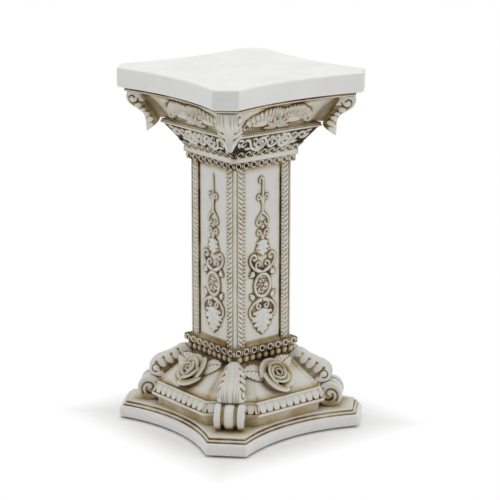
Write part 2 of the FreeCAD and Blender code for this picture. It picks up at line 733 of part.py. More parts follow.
def capital_wing(bell):
    """Pair of scalloped wing leaves on a side of the bell, with a round flower between them."""
    proud = size("wing_proud")
    skin = [
        (-BELL_FOOT_HALF - proud, LEDGE_TOP), (-BELL_TOP_HALF - proud, BELL_TOP),
        (ZERO, BELL_TOP), (ZERO, LEDGE_TOP),
    ]
    layer = extruded(outline("wing_layer", SIDE_FRAME, skin, {0: size("bell_hollow")}), THROUGH)
    foot = LEDGE_TOP + size("wing_foot")
    height = size("bell_height") - size("wing_foot") - size("wing_clearance")
    pieces = []
    for hand in (1, -1):
        lobes = []
        for i in range(WING_LOBES + 1):
            angle = math.radians(8 + 92 * i / WING_LOBES)
            x = size("wing_length") * math.cos(angle) + size("wing_foot")
            lobes.append((x * hand, foot + height * math.sin(angle)))
        corners = [(ZERO, foot)] + lobes
        rises = {i: size("wing_lobe") * hand for i in range(1, WING_LOBES + 1)}
        pieces.append(extruded(outline("wing", FRONT_FRAME, corners, rises), THROUGH))
    flower = doc.addObject("Part::Cylinder", "wing_flower")
    flower.Placement = FRONT_FRAME
    bind(flower, {"Radius": size("wing_foot"), "Height": THROUGH, "Placement.Base.z": foot})
    pieces.append(flower)
    four_sides(cut(common("wings", [fused("wing_pair", pieces), layer]), bell), "capital_fan")


def frieze_scrolls(bell):
    """Two S-scrolls on a side of the frieze's slope, each of an inner and an outer C-scroll."""
    lean = FRIEZE_LEAN * size("capital_ring_height")
    proud = size("frieze_proud")
    foot = NECK_TOP + size("capital_ring_height")
    skin = [
        (-FRIEZE_FOOT_HALF - lean - proud, foot), (-size("frieze_top_half") - proud, FRIEZE_TOP),
        (ZERO, FRIEZE_TOP), (ZERO, foot),
    ]
    layer = extruded(outline("frieze_layer", SIDE_FRAME, skin), THROUGH)
    inner = (FRIEZE_TOP - foot) / 2 - size("frieze_clearance")
    outer = inner - size("frieze_scroll_step")
    strip = size("frieze_strip")
    level = (foot + FRIEZE_TOP) / 2
    inner_centre = inner - strip / 2
    outer_centre = inner_centre + inner + outer - strip
    pieces = []
    for hand, start in ((1, 0), (-1, 180)):
        scrolls = (
            ("inner_scroll", inner_centre * hand, inner, start - 150 * hand - 150),
            ("outer_scroll", outer_centre * hand, outer, start + 180 - 150),
        )
        for name, centre, radius, first in scrolls:
            sketch = hook(name, FRONT_FRAME, centre, level, radius, strip, first, 300)
            pieces.append(extruded(sketch, THROUGH))
    four_sides(cut(common("frieze", [fused("frieze_pair", pieces), layer]), bell), "frieze_scrolls")


def shaft_ornament():
    """Arabesque on a panel: a stem and drop leaf, two pairs of scrolls, a medallion, a palmette and curls."""
    proud = size("ornament_proud")
    strip = size("ornament_strip")
    big = size("big_scroll_radius")
    small = size("small_scroll_radius")
    joint = size("ornament_joint")
    leaf_foot = COLLAR_TOP + size("ornament_foot")
    leaf_top = leaf_foot + size("drop_leaf_height")
    low_scroll = leaf_top + big - joint
    medallion = low_scroll + big + size("medallion_half_height") + joint
    high_scroll = medallion + size("medallion_half_height") + joint + big
    palmette_foot = high_scroll + big - joint
    palmette_top = palmette_foot + size("palmette_height")
    stem_top = SHAFT_TOP - size("ornament_head")
    low_curl = palmette_top + small * 2
    heart_foot = low_curl + small
    heart_top = heart_foot + size("heart_height")
    high_curl = (heart_top + stem_top) / 2
    half = strip / 2
    stem_foot = leaf_foot + big
    stem = [(-half, stem_foot), (half, stem_foot), (half, stem_top), (-half, stem_top)]
    sketches = [
        outline("stem", FRONT_FRAME, stem),
        lens("drop_leaf", FRONT_FRAME, (ZERO, leaf_foot), (ZERO, leaf_top), size("drop_leaf_width")),
        lens("palmette", FRONT_FRAME, (ZERO, palmette_foot), (ZERO, palmette_top), size("palmette_width")),
        lens("heart", FRONT_FRAME, (ZERO, heart_foot), (ZERO, heart_top), size("heart_width")),
    ]
    pairs = (
        (big, low_scroll, 60), (big, high_scroll, -60),
        (small, low_curl, -60), (small, high_curl, -60),
    )
    for radius, level, lean in pairs:
        for hand, start in ((1, 0), (-1, 180)):
            centre = (radius - half / 2) * hand
            first = start - 150 + lean * hand + 30
            sketches.append(hook("curl", FRONT_FRAME, centre, level, radius, strip, first, 300))
    pieces = []
    for sketch in sketches:
        bind(sketch, {"Placement.Base.y": -size("shaft_half")})
        pieces.append(extruded(sketch, proud, both_sides=False))
    rim = size("medallion_rim")
    ovals = []
    for inset, sink in ((ZERO, ZERO), (rim, proud / 2)):
        oval = doc.addObject("Part::Ellipse", "oval")
        oval.Placement = Placement(Vector(), TILT * Rotation(UP, QUARTER))
        bind(oval, {
            "MajorRadius": size("medallion_half_height") - inset,
            "MinorRadius": size("medallion_half_width") - inset,
            "Placement.Base.y": -size("shaft_half") - sink,
            "Placement.Base.z": medallion,
        })
        disc = extruded(oval, proud, both_sides=False)
        disc.DirMode = "Custom"
        disc.Dir = Vector(0, -1, 0)
        ovals.append(disc)
    pieces.append(ovals[0])
    four_sides(cut(fused("arabesque", pieces), ovals[1]), "shaft_ornament")


def slope_frame(along, up):
    """Frame on the front slope, its origin a way along the side and up from the slope's middle."""
    rise = size("slope_height").value
    run_in = LEAF_BAND_TOP_HALF.value - SLOPE_TOP_HALF.value
    angle = math.atan2(rise, run_in)
    up += math.hypot(rise, run_in) / 2
    inwards = up * math.cos(angle) - LEAF_BAND_TOP_HALF.value
    place = Vector(along, inwards, SLOPE_FOOT.value + up * math.sin(angle))
    return Placement(place, Rotation(Vector(1, 0, 0), math.degrees(angle)))


def petal(outer, height, thickness, start, sweep):
    """Cupped petal: a bent section, turned part of the way round the flower."""
    foot = outer * 0.72
    waist = height * 0.6
    lip = outer - thickness / 4
    section = [
        (0, 0), (foot, 0), (outer, waist), (lip, height), (lip - thickness, height),
        (outer - thickness * 1.3, waist), (foot - thickness, thickness), (0, thickness),
    ]
    points = [Vector(x, 0, z) for x, z in section]
    face = Part.Face(Part.makePolygon(points + points[:1]))
    solid = face.revolve(Vector(), UP, sweep)
    solid.rotate(Vector(), UP, start)
    return solid


def rose():
    """Open rose: whorls of cupped petals round a bud, flat where it lies on the slope."""
    radius = size("rose_radius").value
    height = size("rose_height").value
    bud = Part.makeCone(radius * ROSE_BUD * 1.5, radius * ROSE_BUD * 0.6, height)
    petals = []
    for whorl, (reach, rise, count) in enumerate(ROSE_WHORLS):
        pitch = 4 * QUARTER / count
        for i in range(count):
            start = pitch * (i + whorl / 2)
            thickness = size("petal_thickness").value
            petals.append(petal(radius * reach, height * rise, thickness, start, pitch - PETAL_GAP))
    flower = doc.addObject("Part::Feature", "rose")
    flower.Shape = bud.multiFuse(petals)
    flower.Placement = slope_frame(size("rose_along").value, -size("rose_drop").value)
    four_sides(flower, "rose")
    return flower


def rose_leaves(flower):
    """Two leaves that come out from under the rose, up to the right and to the left."""
    frame = slope_frame(size("rose_along").value, -size("rose_drop").value)
    leaves = []
    for name, angle in (("right_leaf", 28), ("left_leaf", 158)):
        way = (math.cos(math.radians(angle)), math.sin(math.radians(angle)))
        near = size("rose_radius") * ROSE_WHORLS[1][0]
        far = near + size("rose_leaf_length")
        foot = tuple(near * step for step in way)
        tip = tuple(far * step for step in way)
        sketch = lens(name, frame, foot, tip, size("rose_leaf_width"))
        leaves.append(extruded(sketch, size("rose_leaf_thickness"), both_sides=False))
    four_sides(cut(group(leaves, "leaves"), flower), "rose_leaves")


def build():
    """Make every piece, cores first, so that ornaments can be cut to their seats."""
    felt_pads()
    plinth()
    block = base_block()
    collar = base_collar()
    shaft()
    panel_sills()
    neck = neck_collar()
    bell = capital_bell()
    capital_plate()
    top_slab()
    proud = size("ring_proud")
    collar_ring = COLLAR_HALF + proud
    ring_band("base_ring_band", [(collar_ring, COLLAR_FOOT), (collar_ring, COLLAR_TOP)], collar)
    neck_ring = NECK_CORE_HALF + proud
    ring_band("neck_ring_band", [(neck_ring, SHAFT_TOP), (neck_ring, NECK_BAND_FOOT)], neck)
    frieze_foot = FRIEZE_FOOT_HALF + proud
    frieze_ring_top = NECK_TOP + size("capital_ring_height")
    frieze_ring_half = frieze_foot + FRIEZE_LEAN * size("capital_ring_height")
    ring_band("capital_ring_band", [(frieze_foot, NECK_TOP), (frieze_ring_half, frieze_ring_top)], bell)
    rope_profile = [(LEDGE_HALF, FRIEZE_TOP), (LEDGE_HALF, LEDGE_TOP)]
    ledge_roll = moulding("ledge_roll", rope_profile, {0: size("ledge_rise")})
    ledge_rope = keep(cut(ledge_roll, bell), "ledge_rope")
    beads = base_bead_course(collar)
    base_leaf_band()
    corner_rope()
    scroll = base_corner_scroll(block)
    base_corner_leaf(block, collar, beads, scroll)
    capital_corner_scroll(bell, ledge_rope)
    capital_wing(bell)
    frieze_scrolls(bell)
    shaft_ornament()
    rose_leaves(rose())


def write():
    """Check every object and piece, then write each piece to its file."""
    doc.recompute()
    for item in doc.Objects:
        if "Invalid" in item.State or "Error" in item.State:
            raise RuntimeError(f"{item.Name} did not build: {item.State}")
    for part in sub_parts:
        if part.Shape.isNull() or not part.Shape.isValid() or not part.Shape.Solids:
            raise RuntimeError(f"{part.Label} has no valid solid")
    os.makedirs("parts", exist_ok=True)
    for part in sub_parts:
        Part.makeCompound(part.Shape.Solids).exportStep(f"parts/{part.Label}.step")


build()
write()
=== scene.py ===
"""Column plant stand in aged cast resin: carved sides, roses, volutes and a plain top, lit on a pale floor.

Lengths are millimetres until a mesh is filled, and metres in the materials and on the stage. +Z is up and
the origin is the middle of the foot. A side is worked out facing -Y and a corner towards +X -Y, and quarter
turns about the upright axis give the other three. Each point carries a share of brown from 0 to 1, which
is the brown patina of the antique finish and, in places, painted shade.
"""

import math

import bpy
import numpy as np
from mathutils import Matrix, Vector


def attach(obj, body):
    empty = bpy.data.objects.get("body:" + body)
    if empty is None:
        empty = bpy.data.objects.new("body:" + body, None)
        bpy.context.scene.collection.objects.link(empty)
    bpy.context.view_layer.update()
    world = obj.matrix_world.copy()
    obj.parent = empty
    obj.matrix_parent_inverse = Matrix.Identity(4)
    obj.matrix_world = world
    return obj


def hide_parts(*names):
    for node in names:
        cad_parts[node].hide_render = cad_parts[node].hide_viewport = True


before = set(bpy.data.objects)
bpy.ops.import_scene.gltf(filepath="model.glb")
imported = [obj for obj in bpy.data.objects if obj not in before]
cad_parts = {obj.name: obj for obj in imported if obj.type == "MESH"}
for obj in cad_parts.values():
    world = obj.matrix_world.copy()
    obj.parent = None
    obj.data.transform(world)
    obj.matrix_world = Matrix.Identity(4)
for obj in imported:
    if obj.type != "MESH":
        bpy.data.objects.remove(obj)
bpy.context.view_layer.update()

METRES_PER_MM = 0.001
QUARTERS = range(4)
ROOT_HALF = math.sqrt(0.5)
SEED = 7

# Levels above the floor
PLINTH_TOP = 11.8
COVE_TOP = 18.6
LEAF_BAND_FOOT = 20.4
LEAF_BAND_TOP = 25.4
SLOPE_FOOT = 27.2
BASE_TOP = 45.4
COLLAR_FOOT = 50.7
COLLAR_TOP = 54.5
MEDALLION_MIDDLE = 92.0
SHAFT_TOP = 168.0
NECK_BAND_FOOT = 172.2
NECK_TOP = 175.6
RING_TOP = 180.0
FRIEZE_TOP = 189.8
LEDGE_TOP = 192.6
BELL_TOP = 210.5
PLATE_TOP = 212.7
SLAB_TOP = 225.0

# Distances from the axis to a side
ORNAMENT_BACK = 20.6
SHAFT_HALF = 21.2
SLOPE_TOP_HALF = 25.0
SLOPE_FOOT_HALF = 46.1
LEAF_BAND_FOOT_HALF = 49.5
TOP_HALF = 59.0
PLINTH_HALF = 63.06

# Other sizes
PANEL_HALF = 14.0
CORNER_OFFSET = 3.8
TOP_HOLLOW = 6.5
SLOPE_RISE = BASE_TOP - SLOPE_FOOT
SLOPE_RUN = SLOPE_FOOT_HALF - SLOPE_TOP_HALF
SLOPE_LENGTH = math.hypot(SLOPE_RISE, SLOPE_RUN)
ROSE_ALONG = -2.0
ROSE_UP = SLOPE_LENGTH / 2 - 1.1


# Finishes

# Ivory to near-black brown, for the share of brown patina and painted shade that a point carries.
RESIN_UNDER_STAIN_AND_SHADE = (
    (0.0, (0.775, 0.775, 0.76)),
    (0.2, (0.67, 0.63, 0.53)),
    (0.42, (0.45, 0.35, 0.19)),
    (0.70, (0.22, 0.138, 0.052)),
    (1.0, (0.032, 0.019, 0.009)),
)
BUMP_DEPTH = 0.0004


def socket(group, name, kind, side, value=None):
    """Add a named socket to a node group."""
    made = group.interface.new_socket(name, in_out=side, socket_type=kind)
    if value is not None:
        made.default_value = value


def nodes_of(tree):
    """Short ways to add a node with its settings, and to join two sockets."""
    def node(kind, **settings):
        made = tree.nodes.new(kind)
        for name, value in settings.items():
            if name in made.inputs:
                made.inputs[name].default_value = value
            else:
                setattr(made, name, value)
        return made

    return node, tree.links.new


def emptied(owner):
    """Ways to fill the node tree of a material or a world, cleared before."""
    owner.use_nodes = True
    owner.node_tree.nodes.clear()
    return nodes_of(owner.node_tree)


def ramp(node, stops):
    """Colour ramp through the given places and colours."""
    made = node("ShaderNodeValToRGB")
    while len(made.color_ramp.elements) < len(stops):
        made.color_ramp.elements.new(1.0)
    for element, (place, colour) in zip(made.color_ramp.elements, stops):
        element.position = place
        element.color = (*colour, 1.0)
    return made


def stretch(node, start, end):
    """Node that carries the values between two starts over to those between two ends."""
    return node("ShaderNodeMapRange", **{"From Min": start[0], "From Max": start[1],
                                         "To Min": end[0], "To Max": end[1]})


def cast_grain():
    """Group: fine pits and soft waves of a casting, as a height, and its slow change of tone, as a value."""
    group = bpy.data.node_groups.new("cast_grain", "ShaderNodeTree")
    socket(group, "Grain per metre", "NodeSocketFloat", "INPUT", 900.0)
    socket(group, "Height", "NodeSocketFloat", "OUTPUT")
    socket(group, "Tone", "NodeSocketFloat", "OUTPUT")
    node, join = nodes_of(group)
    inlet = node("NodeGroupInput")
    outlet = node("NodeGroupOutput")
    place = node("ShaderNodeTexCoord")
    fine = node("ShaderNodeTexNoise", Detail=3.0, Roughness=0.6)
    waves = node("ShaderNodeTexNoise", Scale=160.0, Detail=2.0)
    tone = node("ShaderNodeTexNoise", Scale=55.0, Detail=4.0, Roughness=0.62)
    total = node("ShaderNodeMath", operation="MULTIPLY_ADD")
    wave_weight = 1.6
    for made in (fine, waves, tone):
        join(place.outputs["Object"], made.inputs["Vector"])
    join(inlet.outputs["Grain per metre"], fine.inputs["Scale"])
    join(waves.outputs["Fac"], total.inputs[0])
    total.inputs[1].default_value = wave_weight
    join(fine.outputs["Fac"], total.inputs[2])
    join(total.outputs[0], outlet.inputs["Height"])
    join(tone.outputs["Fac"], outlet.inputs["Tone"])
    return group


def antique_wash_and_shade():
    """Group: ivory resin browned by the share it is given, for the wiped-off brown patina and for painted
    shade, uneven by a cloudy noise.

    The share is multiplied by one plus half the unevenness times the tone, carried over to between -1 and 1,
    and high tones add a little dust.
    """
    group = bpy.data.node_groups.new("antique_wash_and_shade", "ShaderNodeTree")
    socket(group, "Wash_and_shade", "NodeSocketFloat", "INPUT", 0.0)
    socket(group, "Tone", "NodeSocketFloat", "INPUT", 0.5)
    socket(group, "Unevenness", "NodeSocketFloat", "INPUT", 0.5)
    socket(group, "Color", "NodeSocketColor", "OUTPUT")
    socket(group, "Mask", "NodeSocketFloat", "OUTPUT")
    node, join = nodes_of(group)
    inlet = node("NodeGroupInput")
    outlet = node("NodeGroupOutput")
    uneven = stretch(node, (0.3, 0.7), (-1.0, 1.0))
    share = node("ShaderNodeMath", operation="MULTIPLY")
    swing = node("ShaderNodeMath", operation="MULTIPLY_ADD")
    dust = stretch(node, (0.5, 0.72), (0.0, 0.07))
    darkening = node("ShaderNodeMath", operation="MULTIPLY_ADD", use_clamp=True)
    colour = ramp(node, RESIN_UNDER_STAIN_AND_SHADE)
    join(inlet.outputs["Tone"], uneven.inputs["Value"])
    join(uneven.outputs["Result"], share.inputs[0])
    join(inlet.outputs["Unevenness"], share.inputs[1])
    join(share.outputs[0], swing.inputs[0])
    swing.inputs[1].default_value = 0.5
    swing.inputs[2].default_value = 1.0
    join(inlet.outputs["Wash_and_shade"], darkening.inputs[0])
    join(swing.outputs[0], darkening.inputs[1])
    join(inlet.outputs["Tone"], dust.inputs["Value"])
    join(dust.outputs["Result"], darkening.inputs[2])
    join(darkening.outputs[0], colour.inputs["Fac"])
    join(colour.outputs["Color"], outlet.inputs["Color"])
    join(darkening.outputs[0], outlet.inputs["Mask"])
    return group


GRAIN = cast_grain()
WASH_AND_SHADE = antique_wash_and_shade()


def grained(name, grain, bump, specular=0.35):
    """Material whose normal takes the casting's grain; its colour and roughness are joined on later."""
    material = bpy.data.materials.new(name)
    node, join = emptied(material)
    out = node("ShaderNodeOutputMaterial")
    shader = node("ShaderNodeBsdfPrincipled", **{"Specular IOR Level": specular})
    texture = node("ShaderNodeGroup", node_tree=GRAIN, **{"Grain per metre": grain})
    relief = node("ShaderNodeBump", Strength=bump, Distance=BUMP_DEPTH)
    join(texture.outputs["Height"], relief.inputs["Height"])
    join(relief.outputs["Normal"], shader.inputs["Normal"])
    join(shader.outputs["BSDF"], out.inputs["Surface"])
    return material, shader, texture, node, join


def aged_resin():
    """Ivory resin browned as far as the piece's own attribute asks, for patina and for painted shade, and
    duller where browned.
    """
    material, shader, texture, node, join = grained("aged_resin", grain=900.0, bump=0.22)
    own = node("ShaderNodeAttribute", attribute_name="stain_and_shade")
    darkening = node("ShaderNodeGroup", node_tree=WASH_AND_SHADE, Unevenness=0.75)
    rough = stretch(node, (0.0, 1.0), (0.52, 0.78))
    join(own.outputs["Fac"], darkening.inputs["Wash_and_shade"])
    join(texture.outputs["Tone"], darkening.inputs["Tone"])
    join(darkening.outputs["Color"], shader.inputs["Base Color"])
    join(darkening.outputs["Mask"], rough.inputs["Value"])
    join(rough.outputs["Result"], shader.inputs["Roughness"])
    return material


def clean_resin():
    """White matt resin of the top, with a faint warm and cool cloudiness."""
    material, shader, texture, node, join = grained("clean_resin", grain=700.0, bump=0.12)
    colour = ramp(node, ((0.3, (0.80, 0.80, 0.79)), (0.7, (0.85, 0.845, 0.83))))
    rough = stretch(node, (0.3, 0.7), (0.5, 0.62))
    join(texture.outputs["Tone"], colour.inputs["Fac"])
    join(colour.outputs["Color"], shader.inputs["Base Color"])
    join(texture.outputs["Tone"], rough.inputs["Value"])
    join(rough.outputs["Result"], shader.inputs["Roughness"])
    return material


def felt():
    """Dark felt with a fibrous mottle."""
    material, shader, texture, node, join = grained("felt", grain=2600.0, bump=0.6, specular=0.1)
    shader.inputs["Sheen Weight"].default_value = 0.25
    colour = ramp(node, ((0.3, (0.03, 0.026, 0.022)), (0.7, (0.075, 0.064, 0.052))))
    rough = stretch(node, (1.0, 1.8), (0.85, 0.98))
    join(texture.outputs["Tone"], colour.inputs["Fac"])
    join(colour.outputs["Color"], shader.inputs["Base Color"])
    join(texture.outputs["Height"], rough.inputs["Value"])
    join(rough.outputs["Result"], shader.inputs["Roughness"])
    return material


AGED = aged_resin()
CLEAN = clean_resin()
FELT = felt()


# Meshes

class Piece:
    """A mesh in the making: grids of points in millimetres, each point with its share of brown, for patina
    and for painted shade.
    """

    def __init__(self):
        self.points = []
        self.stain_and_shade = []
        self.quads = []
        self.count = 0

    def add(self, points, stain_and_shade, outward=None, centre=None, wrap=(False, False), solid=False):
        """Join a grid of rows and columns, wrapped round where asked.

        Its faces are turned to look along outward or away from centre, and a solid's away from its middle.
        """
        rows, columns = points.shape[:2]
        index = np.arange(rows * columns).reshape(rows, columns)
        if wrap[0]:
            index = np.vstack([index, index[:1]])
        if wrap[1]:
            index = np.hstack([index, index[:, :1]])
        quads = np.stack([index[:-1, :-1], index[1:, :-1], index[1:, 1:], index[:-1, 1:]], -1)
        quads = quads.reshape(-1, 4)
        flat = points.reshape(-1, 3)
        corner = flat[quads]
        normal = np.cross(corner[:, 2] - corner[:, 0], corner[:, 3] - corner[:, 1])
        if solid:
            look = corner.mean(1) - flat.mean(0)
        elif centre is not None:
            look = corner.mean(1) - np.asarray(centre, float)
        else:
            look = np.asarray(outward, float)
        if (normal * look).sum() < 0:
            quads = quads[:, ::-1]
        self.points.append(flat)
        self.stain_and_shade.append(np.broadcast_to(np.asarray(stain_and_shade, float), (rows, columns)).reshape(-1))
        self.quads.append(quads + self.count)
        self.count += len(flat)
        return self

    def closed(self, front, stain_and_shade, back, outward):
        """Join a carved face, the walls from its rim and the face behind it.

        Back is a function that puts each rim point on the far side.
        """
        hidden_wash = 0.8
        rim = np.concatenate([front[0, :-1], front[:-1, -1], front[-1, :0:-1], front[:0:-1, 0]])
        far = back(rim)
        middle = np.broadcast_to(far.mean(0), far.shape)
        within = (rim.mean(0) + far.mean(0)) / 2
        self.add(front, stain_and_shade, outward=outward)
        return self.add(np.stack([rim, far, middle]), hidden_wash, centre=within, wrap=(False, True))

    def turned(self, quarter):
        """Copy turned by quarter turns about the upright axis."""
        copy = Piece()
        copy.points = [turn(points, quarter) for points in self.points]
        copy.stain_and_shade = list(self.stain_and_shade)
        copy.quads = list(self.quads)
        copy.count = self.count
        return copy

    def joined(self, other):
        """This piece with another one's grids added."""
        self.points += other.points
        self.stain_and_shade += other.stain_and_shade
        self.quads += [quads + self.count for quads in other.quads]
        self.count += other.count
        return self

    def finish(self, name, nodes, material=AGED, slot="carved_resin"):
        """Merge points that coincide, fill the mesh and hang it on the frame in place of its solids."""
        points = np.vstack(self.points)
        stain_and_shade = np.concatenate(self.stain_and_shade)
        quads = np.vstack(self.quads)
        _, first, same = np.unique(np.round(points, 4), axis=0, return_index=True, return_inverse=True)
        points = points[first]
        stain_and_shade = stain_and_shade[first]
        quads = same.reshape(-1)[quads]
        kept = quads != np.roll(quads, 1, axis=1)
        sides = kept.sum(1)
        whole = sides >= 3
        loops = quads[whole][kept[whole]]
        sides = sides[whole]
        mesh = bpy.data.meshes.new(name)
        mesh.vertices.add(len(points))
        mesh.vertices.foreach_set("co", (points * METRES_PER_MM).astype(np.float32).ravel())
        mesh.loops.add(len(loops))
        mesh.loops.foreach_set("vertex_index", loops.astype(np.int32))
        mesh.polygons.add(len(sides))
        mesh.polygons.foreach_set("loop_start", (np.cumsum(sides) - sides).astype(np.int32))
        mesh.polygons.foreach_set("use_smooth", np.ones(len(sides), bool))
        attribute = mesh.attributes.new("stain_and_shade", "FLOAT", "POINT")
        attribute.data.foreach_set("value", np.clip(stain_and_shade, 0, 1).astype(np.float32))
        mesh.update(calc_edges=True)
        mesh.validate()
        mesh.materials.append(material)
        piece = bpy.data.objects.new(name, mesh)
        bpy.context.scene.collection.objects.link(piece)
        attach(piece, "root")
        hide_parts(*nodes)


def grid(x, y, z):
    """Points from their three coordinates, each spread over the rows and columns of the others."""
    return np.stack(np.broadcast_arrays(x, y, z), -1)


def turn(points, quarter):
    """Points turned by quarter turns about the upright axis: x, y become -y, x each time."""
    x, y, z = points[..., 0], points[..., 1], points[..., 2]
    for _ in range(quarter):
        x, y = -y, x
    return grid(x, y, z)


def four_turns(quarter):
    """A side's grids and their three turned copies in one piece."""
    whole = Piece()
    for k in QUARTERS:
        whole.joined(quarter.turned(k))
    return whole


def finish_four(piece, name, node):
    """Finish a piece and its three turned copies, each numbered like the solid that it replaces."""
    for k in QUARTERS:
        piece.turned(k).finish(f"{name}_{k + 1}", [f"{node}_{k + 1}"])


def with_ends(rows, ends):
    """Rows with the first of two end rows before them and the second after them."""
    return np.concatenate([ends[:1], rows, ends[1:]])


def repeated_ends(rows):
    """Rows of a wash with the first and the last one repeated, for a grid that was closed."""
    return with_ends(rows, rows[[0, -1]])


def closed_at_axis(rows):
    """Grid of points closed on the upright axis, level with its first and its last row."""
    return with_ends(rows, rows[[0, -1]] * [0, 0, 1])


def closed_at_middles(rows):
    """Grid of points closed at the middles of its first and its last row."""
    middles = rows[[0, -1]].mean(1, keepdims=True)
    return with_ends(rows, np.broadcast_to(middles, (2,) + rows.shape[1:]))


def on_corner(reach, lateral, height):
    """Points by the front corner: a reach along its diagonal, a distance to the side of it and a height."""
    return grid((reach + lateral) * ROOT_HALF, (lateral - reach) * ROOT_HALF, height)


def over_diagonal(points):
    """Points mirrored over the front corner's diagonal: x, y become -y, -x."""
    return grid(-points[..., 1], -points[..., 0], points[..., 2])


def at_ornament_back(rim):
    """Rim points of an ornament on the shaft's front, moved to the plane of its back."""
    return grid(rim[:, 0], -ORNAMENT_BACK, rim[:, 2])


def blend(value, low, high):
    """Smooth step from 0 at low to 1 at high."""
    share = np.clip((value - low) / (high - low), 0, 1)
    return share * share * (3 - 2 * share)


def smooth_path(knots, per=10):
    """Curve through knots: between two of them, a cubic.

    Its slope at a knot is half the gap between the knots before and after that one.
    """
    knots = np.asarray(knots, float)
    ends = np.vstack([2 * knots[0] - knots[1], knots, 2 * knots[-1] - knots[-2]])
    before, start, end, after = ends[:-3, None], ends[1:-2, None], ends[2:-1, None], ends[3:, None]
    t = np.linspace(0, 1, per, endpoint=False)[None, :, None]
    path = (start + t * (end - before) / 2 + t ** 2 * (2 * before - 5 * start + 4 * end - after) / 2
            + t ** 3 * (3 * start - before - 3 * end + after) / 2)
    return np.vstack([path.reshape(-1, knots.shape[1]), knots[-1:]])


def spiral(centre, radii, angles):
    """Flat spiral: radius and angle, in degrees, both run evenly from their first value to their last."""
    count = 60
    angle = np.radians(np.linspace(*angles, count))
    radius = np.linspace(*radii, count)
    return np.stack([centre[0] + radius * np.cos(angle), centre[1] + radius * np.sin(angle)], -1)


def blurred(field, spread):
    """Field smoothed by a bell curve of that spread in cells, with its edge values carried on outside."""
    reach = int(3 * spread) + 1
    bell = np.exp(-0.5 * (np.arange(-reach, reach + 1) / spread) ** 2)
    bell /= bell.sum()
    for axis in (0, 1):
        padded = np.pad(field, [(reach, reach) if i == axis else (0, 0) for i in (0, 1)], mode="edge")
        cells = np.arange(field.shape[axis])
        shifted = [np.take(padded, cells + k, axis=axis) * weight for k, weight in enumerate(bell)]
        field = np.sum(shifted, axis=0)
    return field


class Carving:
    """Relief over a face: u runs along the face and v up it, in millimetres, and height stands out of it."""

    def __init__(self, u, v):
        self.u = u
        self.v = v
        self.height = np.zeros_like(u)

    def patch(self, low, high, mirrored):
        """Places inside a box, and their u and v, with u folded over the middle for a mirrored ornament."""
        u = np.abs(self.u) if mirrored else self.u
        where = np.nonzero((u > low[0]) & (u < high[0]) & (self.v > low[1]) & (self.v < high[1]))
        return where, u[where], self.v[where]

    def lift(self, where, height):
        """Raise places to a height, where they don't stand higher already."""
        self.height[where] = np.maximum(self.height[where], height)

    def stroke(self, path, width, height, mirrored=True):
        """Round cord along a path: height falls as a half circle over the half width.

        The half width is one value, or several that are spread evenly along the path.
        """
        path = np.asarray(path, float)
        steps = np.linspace(0, 1, len(path))
        widths = np.interp(steps, np.linspace(0, 1, len(np.atleast_1d(width))), np.atleast_1d(width))
        margin = widths.max()
        where, u, v = self.patch(path.min(0) - margin, path.max(0) + margin, mirrored)
        gap = (u[:, None] - path[None, :, 0]) ** 2 + (v[:, None] - path[None, :, 1]) ** 2
        near = gap.argmin(1)
        share = np.sqrt(gap[np.arange(len(near)), near]) / widths[near]
        self.lift(where, height * np.sqrt(np.clip(1 - share ** 2, 0, 1)))

    def dome(self, centre, radii, height, mirrored=True):
        """Half egg: height falls as a half ellipse over both radii."""
        centre = np.asarray(centre, float)
        radii = np.broadcast_to(radii, 2).astype(float)
        where, u, v = self.patch(centre - radii, centre + radii, mirrored)
        share = ((u - centre[0]) / radii[0]) ** 2 + ((v - centre[1]) / radii[1]) ** 2
        self.lift(where, height * np.sqrt(np.clip(1 - share, 0, 1)))

    def leaf(self, foot, tip, width, height, lobes=0, veins=0.25, mirrored=True):
        """Pointed leaf: along it the half width swells and closes again, as a sine made fuller by powers.

        Lobes notch its edge with a cosine that slants outwards, and a rib and veins dip its surface.
        """
        foot, tip = np.asarray(foot, float), np.asarray(tip, float)
        length = np.linalg.norm(tip - foot)
        way = (tip - foot) / length
        margin = width * 1.2
        where, u, v = self.patch(np.minimum(foot, tip) - margin, np.maximum(foot, tip) + margin, mirrored)
        along = ((u - foot[0]) * way[0] + (v - foot[1]) * way[1]) / length
        aside = (v - foot[1]) * way[0] - (u - foot[0]) * way[1]
        inside = np.clip(along, 1e-6, 1)
        slant = inside - 0.18 * np.abs(aside) / width
        notches = 1 + 0.22 * np.cos(2 * np.pi * lobes * slant) * (lobes > 0)
        edge = width * np.sin(np.pi * inside ** 0.75) ** 0.8 * notches
        share = np.abs(aside) / np.maximum(edge, 1e-6)
        body = np.clip(1 - share ** 2, 0, 1) ** 0.5
        rib = np.exp(-(aside / (0.12 * width + 0.15)) ** 2)
        furrow = 0.5 + 0.5 * np.cos(2 * np.pi * max(lobes, 3) * slant)
        height = height * body * (1 - veins * rib - veins * (1 - furrow) * share)
        self.lift(where, np.where((along > 0) & (along < 1), height, 0))

    def stain_and_shade(self, cell, halo, depth):
        """Brown patina left by wiping, strong in hollows and none on the top of what stands out; round its
        foot a soft halo that is patina and painted shade.
        """
        fine = 0.5
        stands = blend(self.height, 0.05, 0.45)
        shade = blurred(stands, halo / cell) * (1 - stands)
        hollow = np.clip(blurred(self.height, fine / cell) - self.height, 0, 1)
        return np.clip(depth * (1.5 * shade + 1.9 * hollow), 0, 1)


# Plinth, plate and top

def bend(start, corner, end, share):
    """Parabola that leaves its start towards a corner and reaches its end from there."""
    return (1 - share) ** 2 * start + 2 * share * (1 - share) * corner + share ** 2 * end


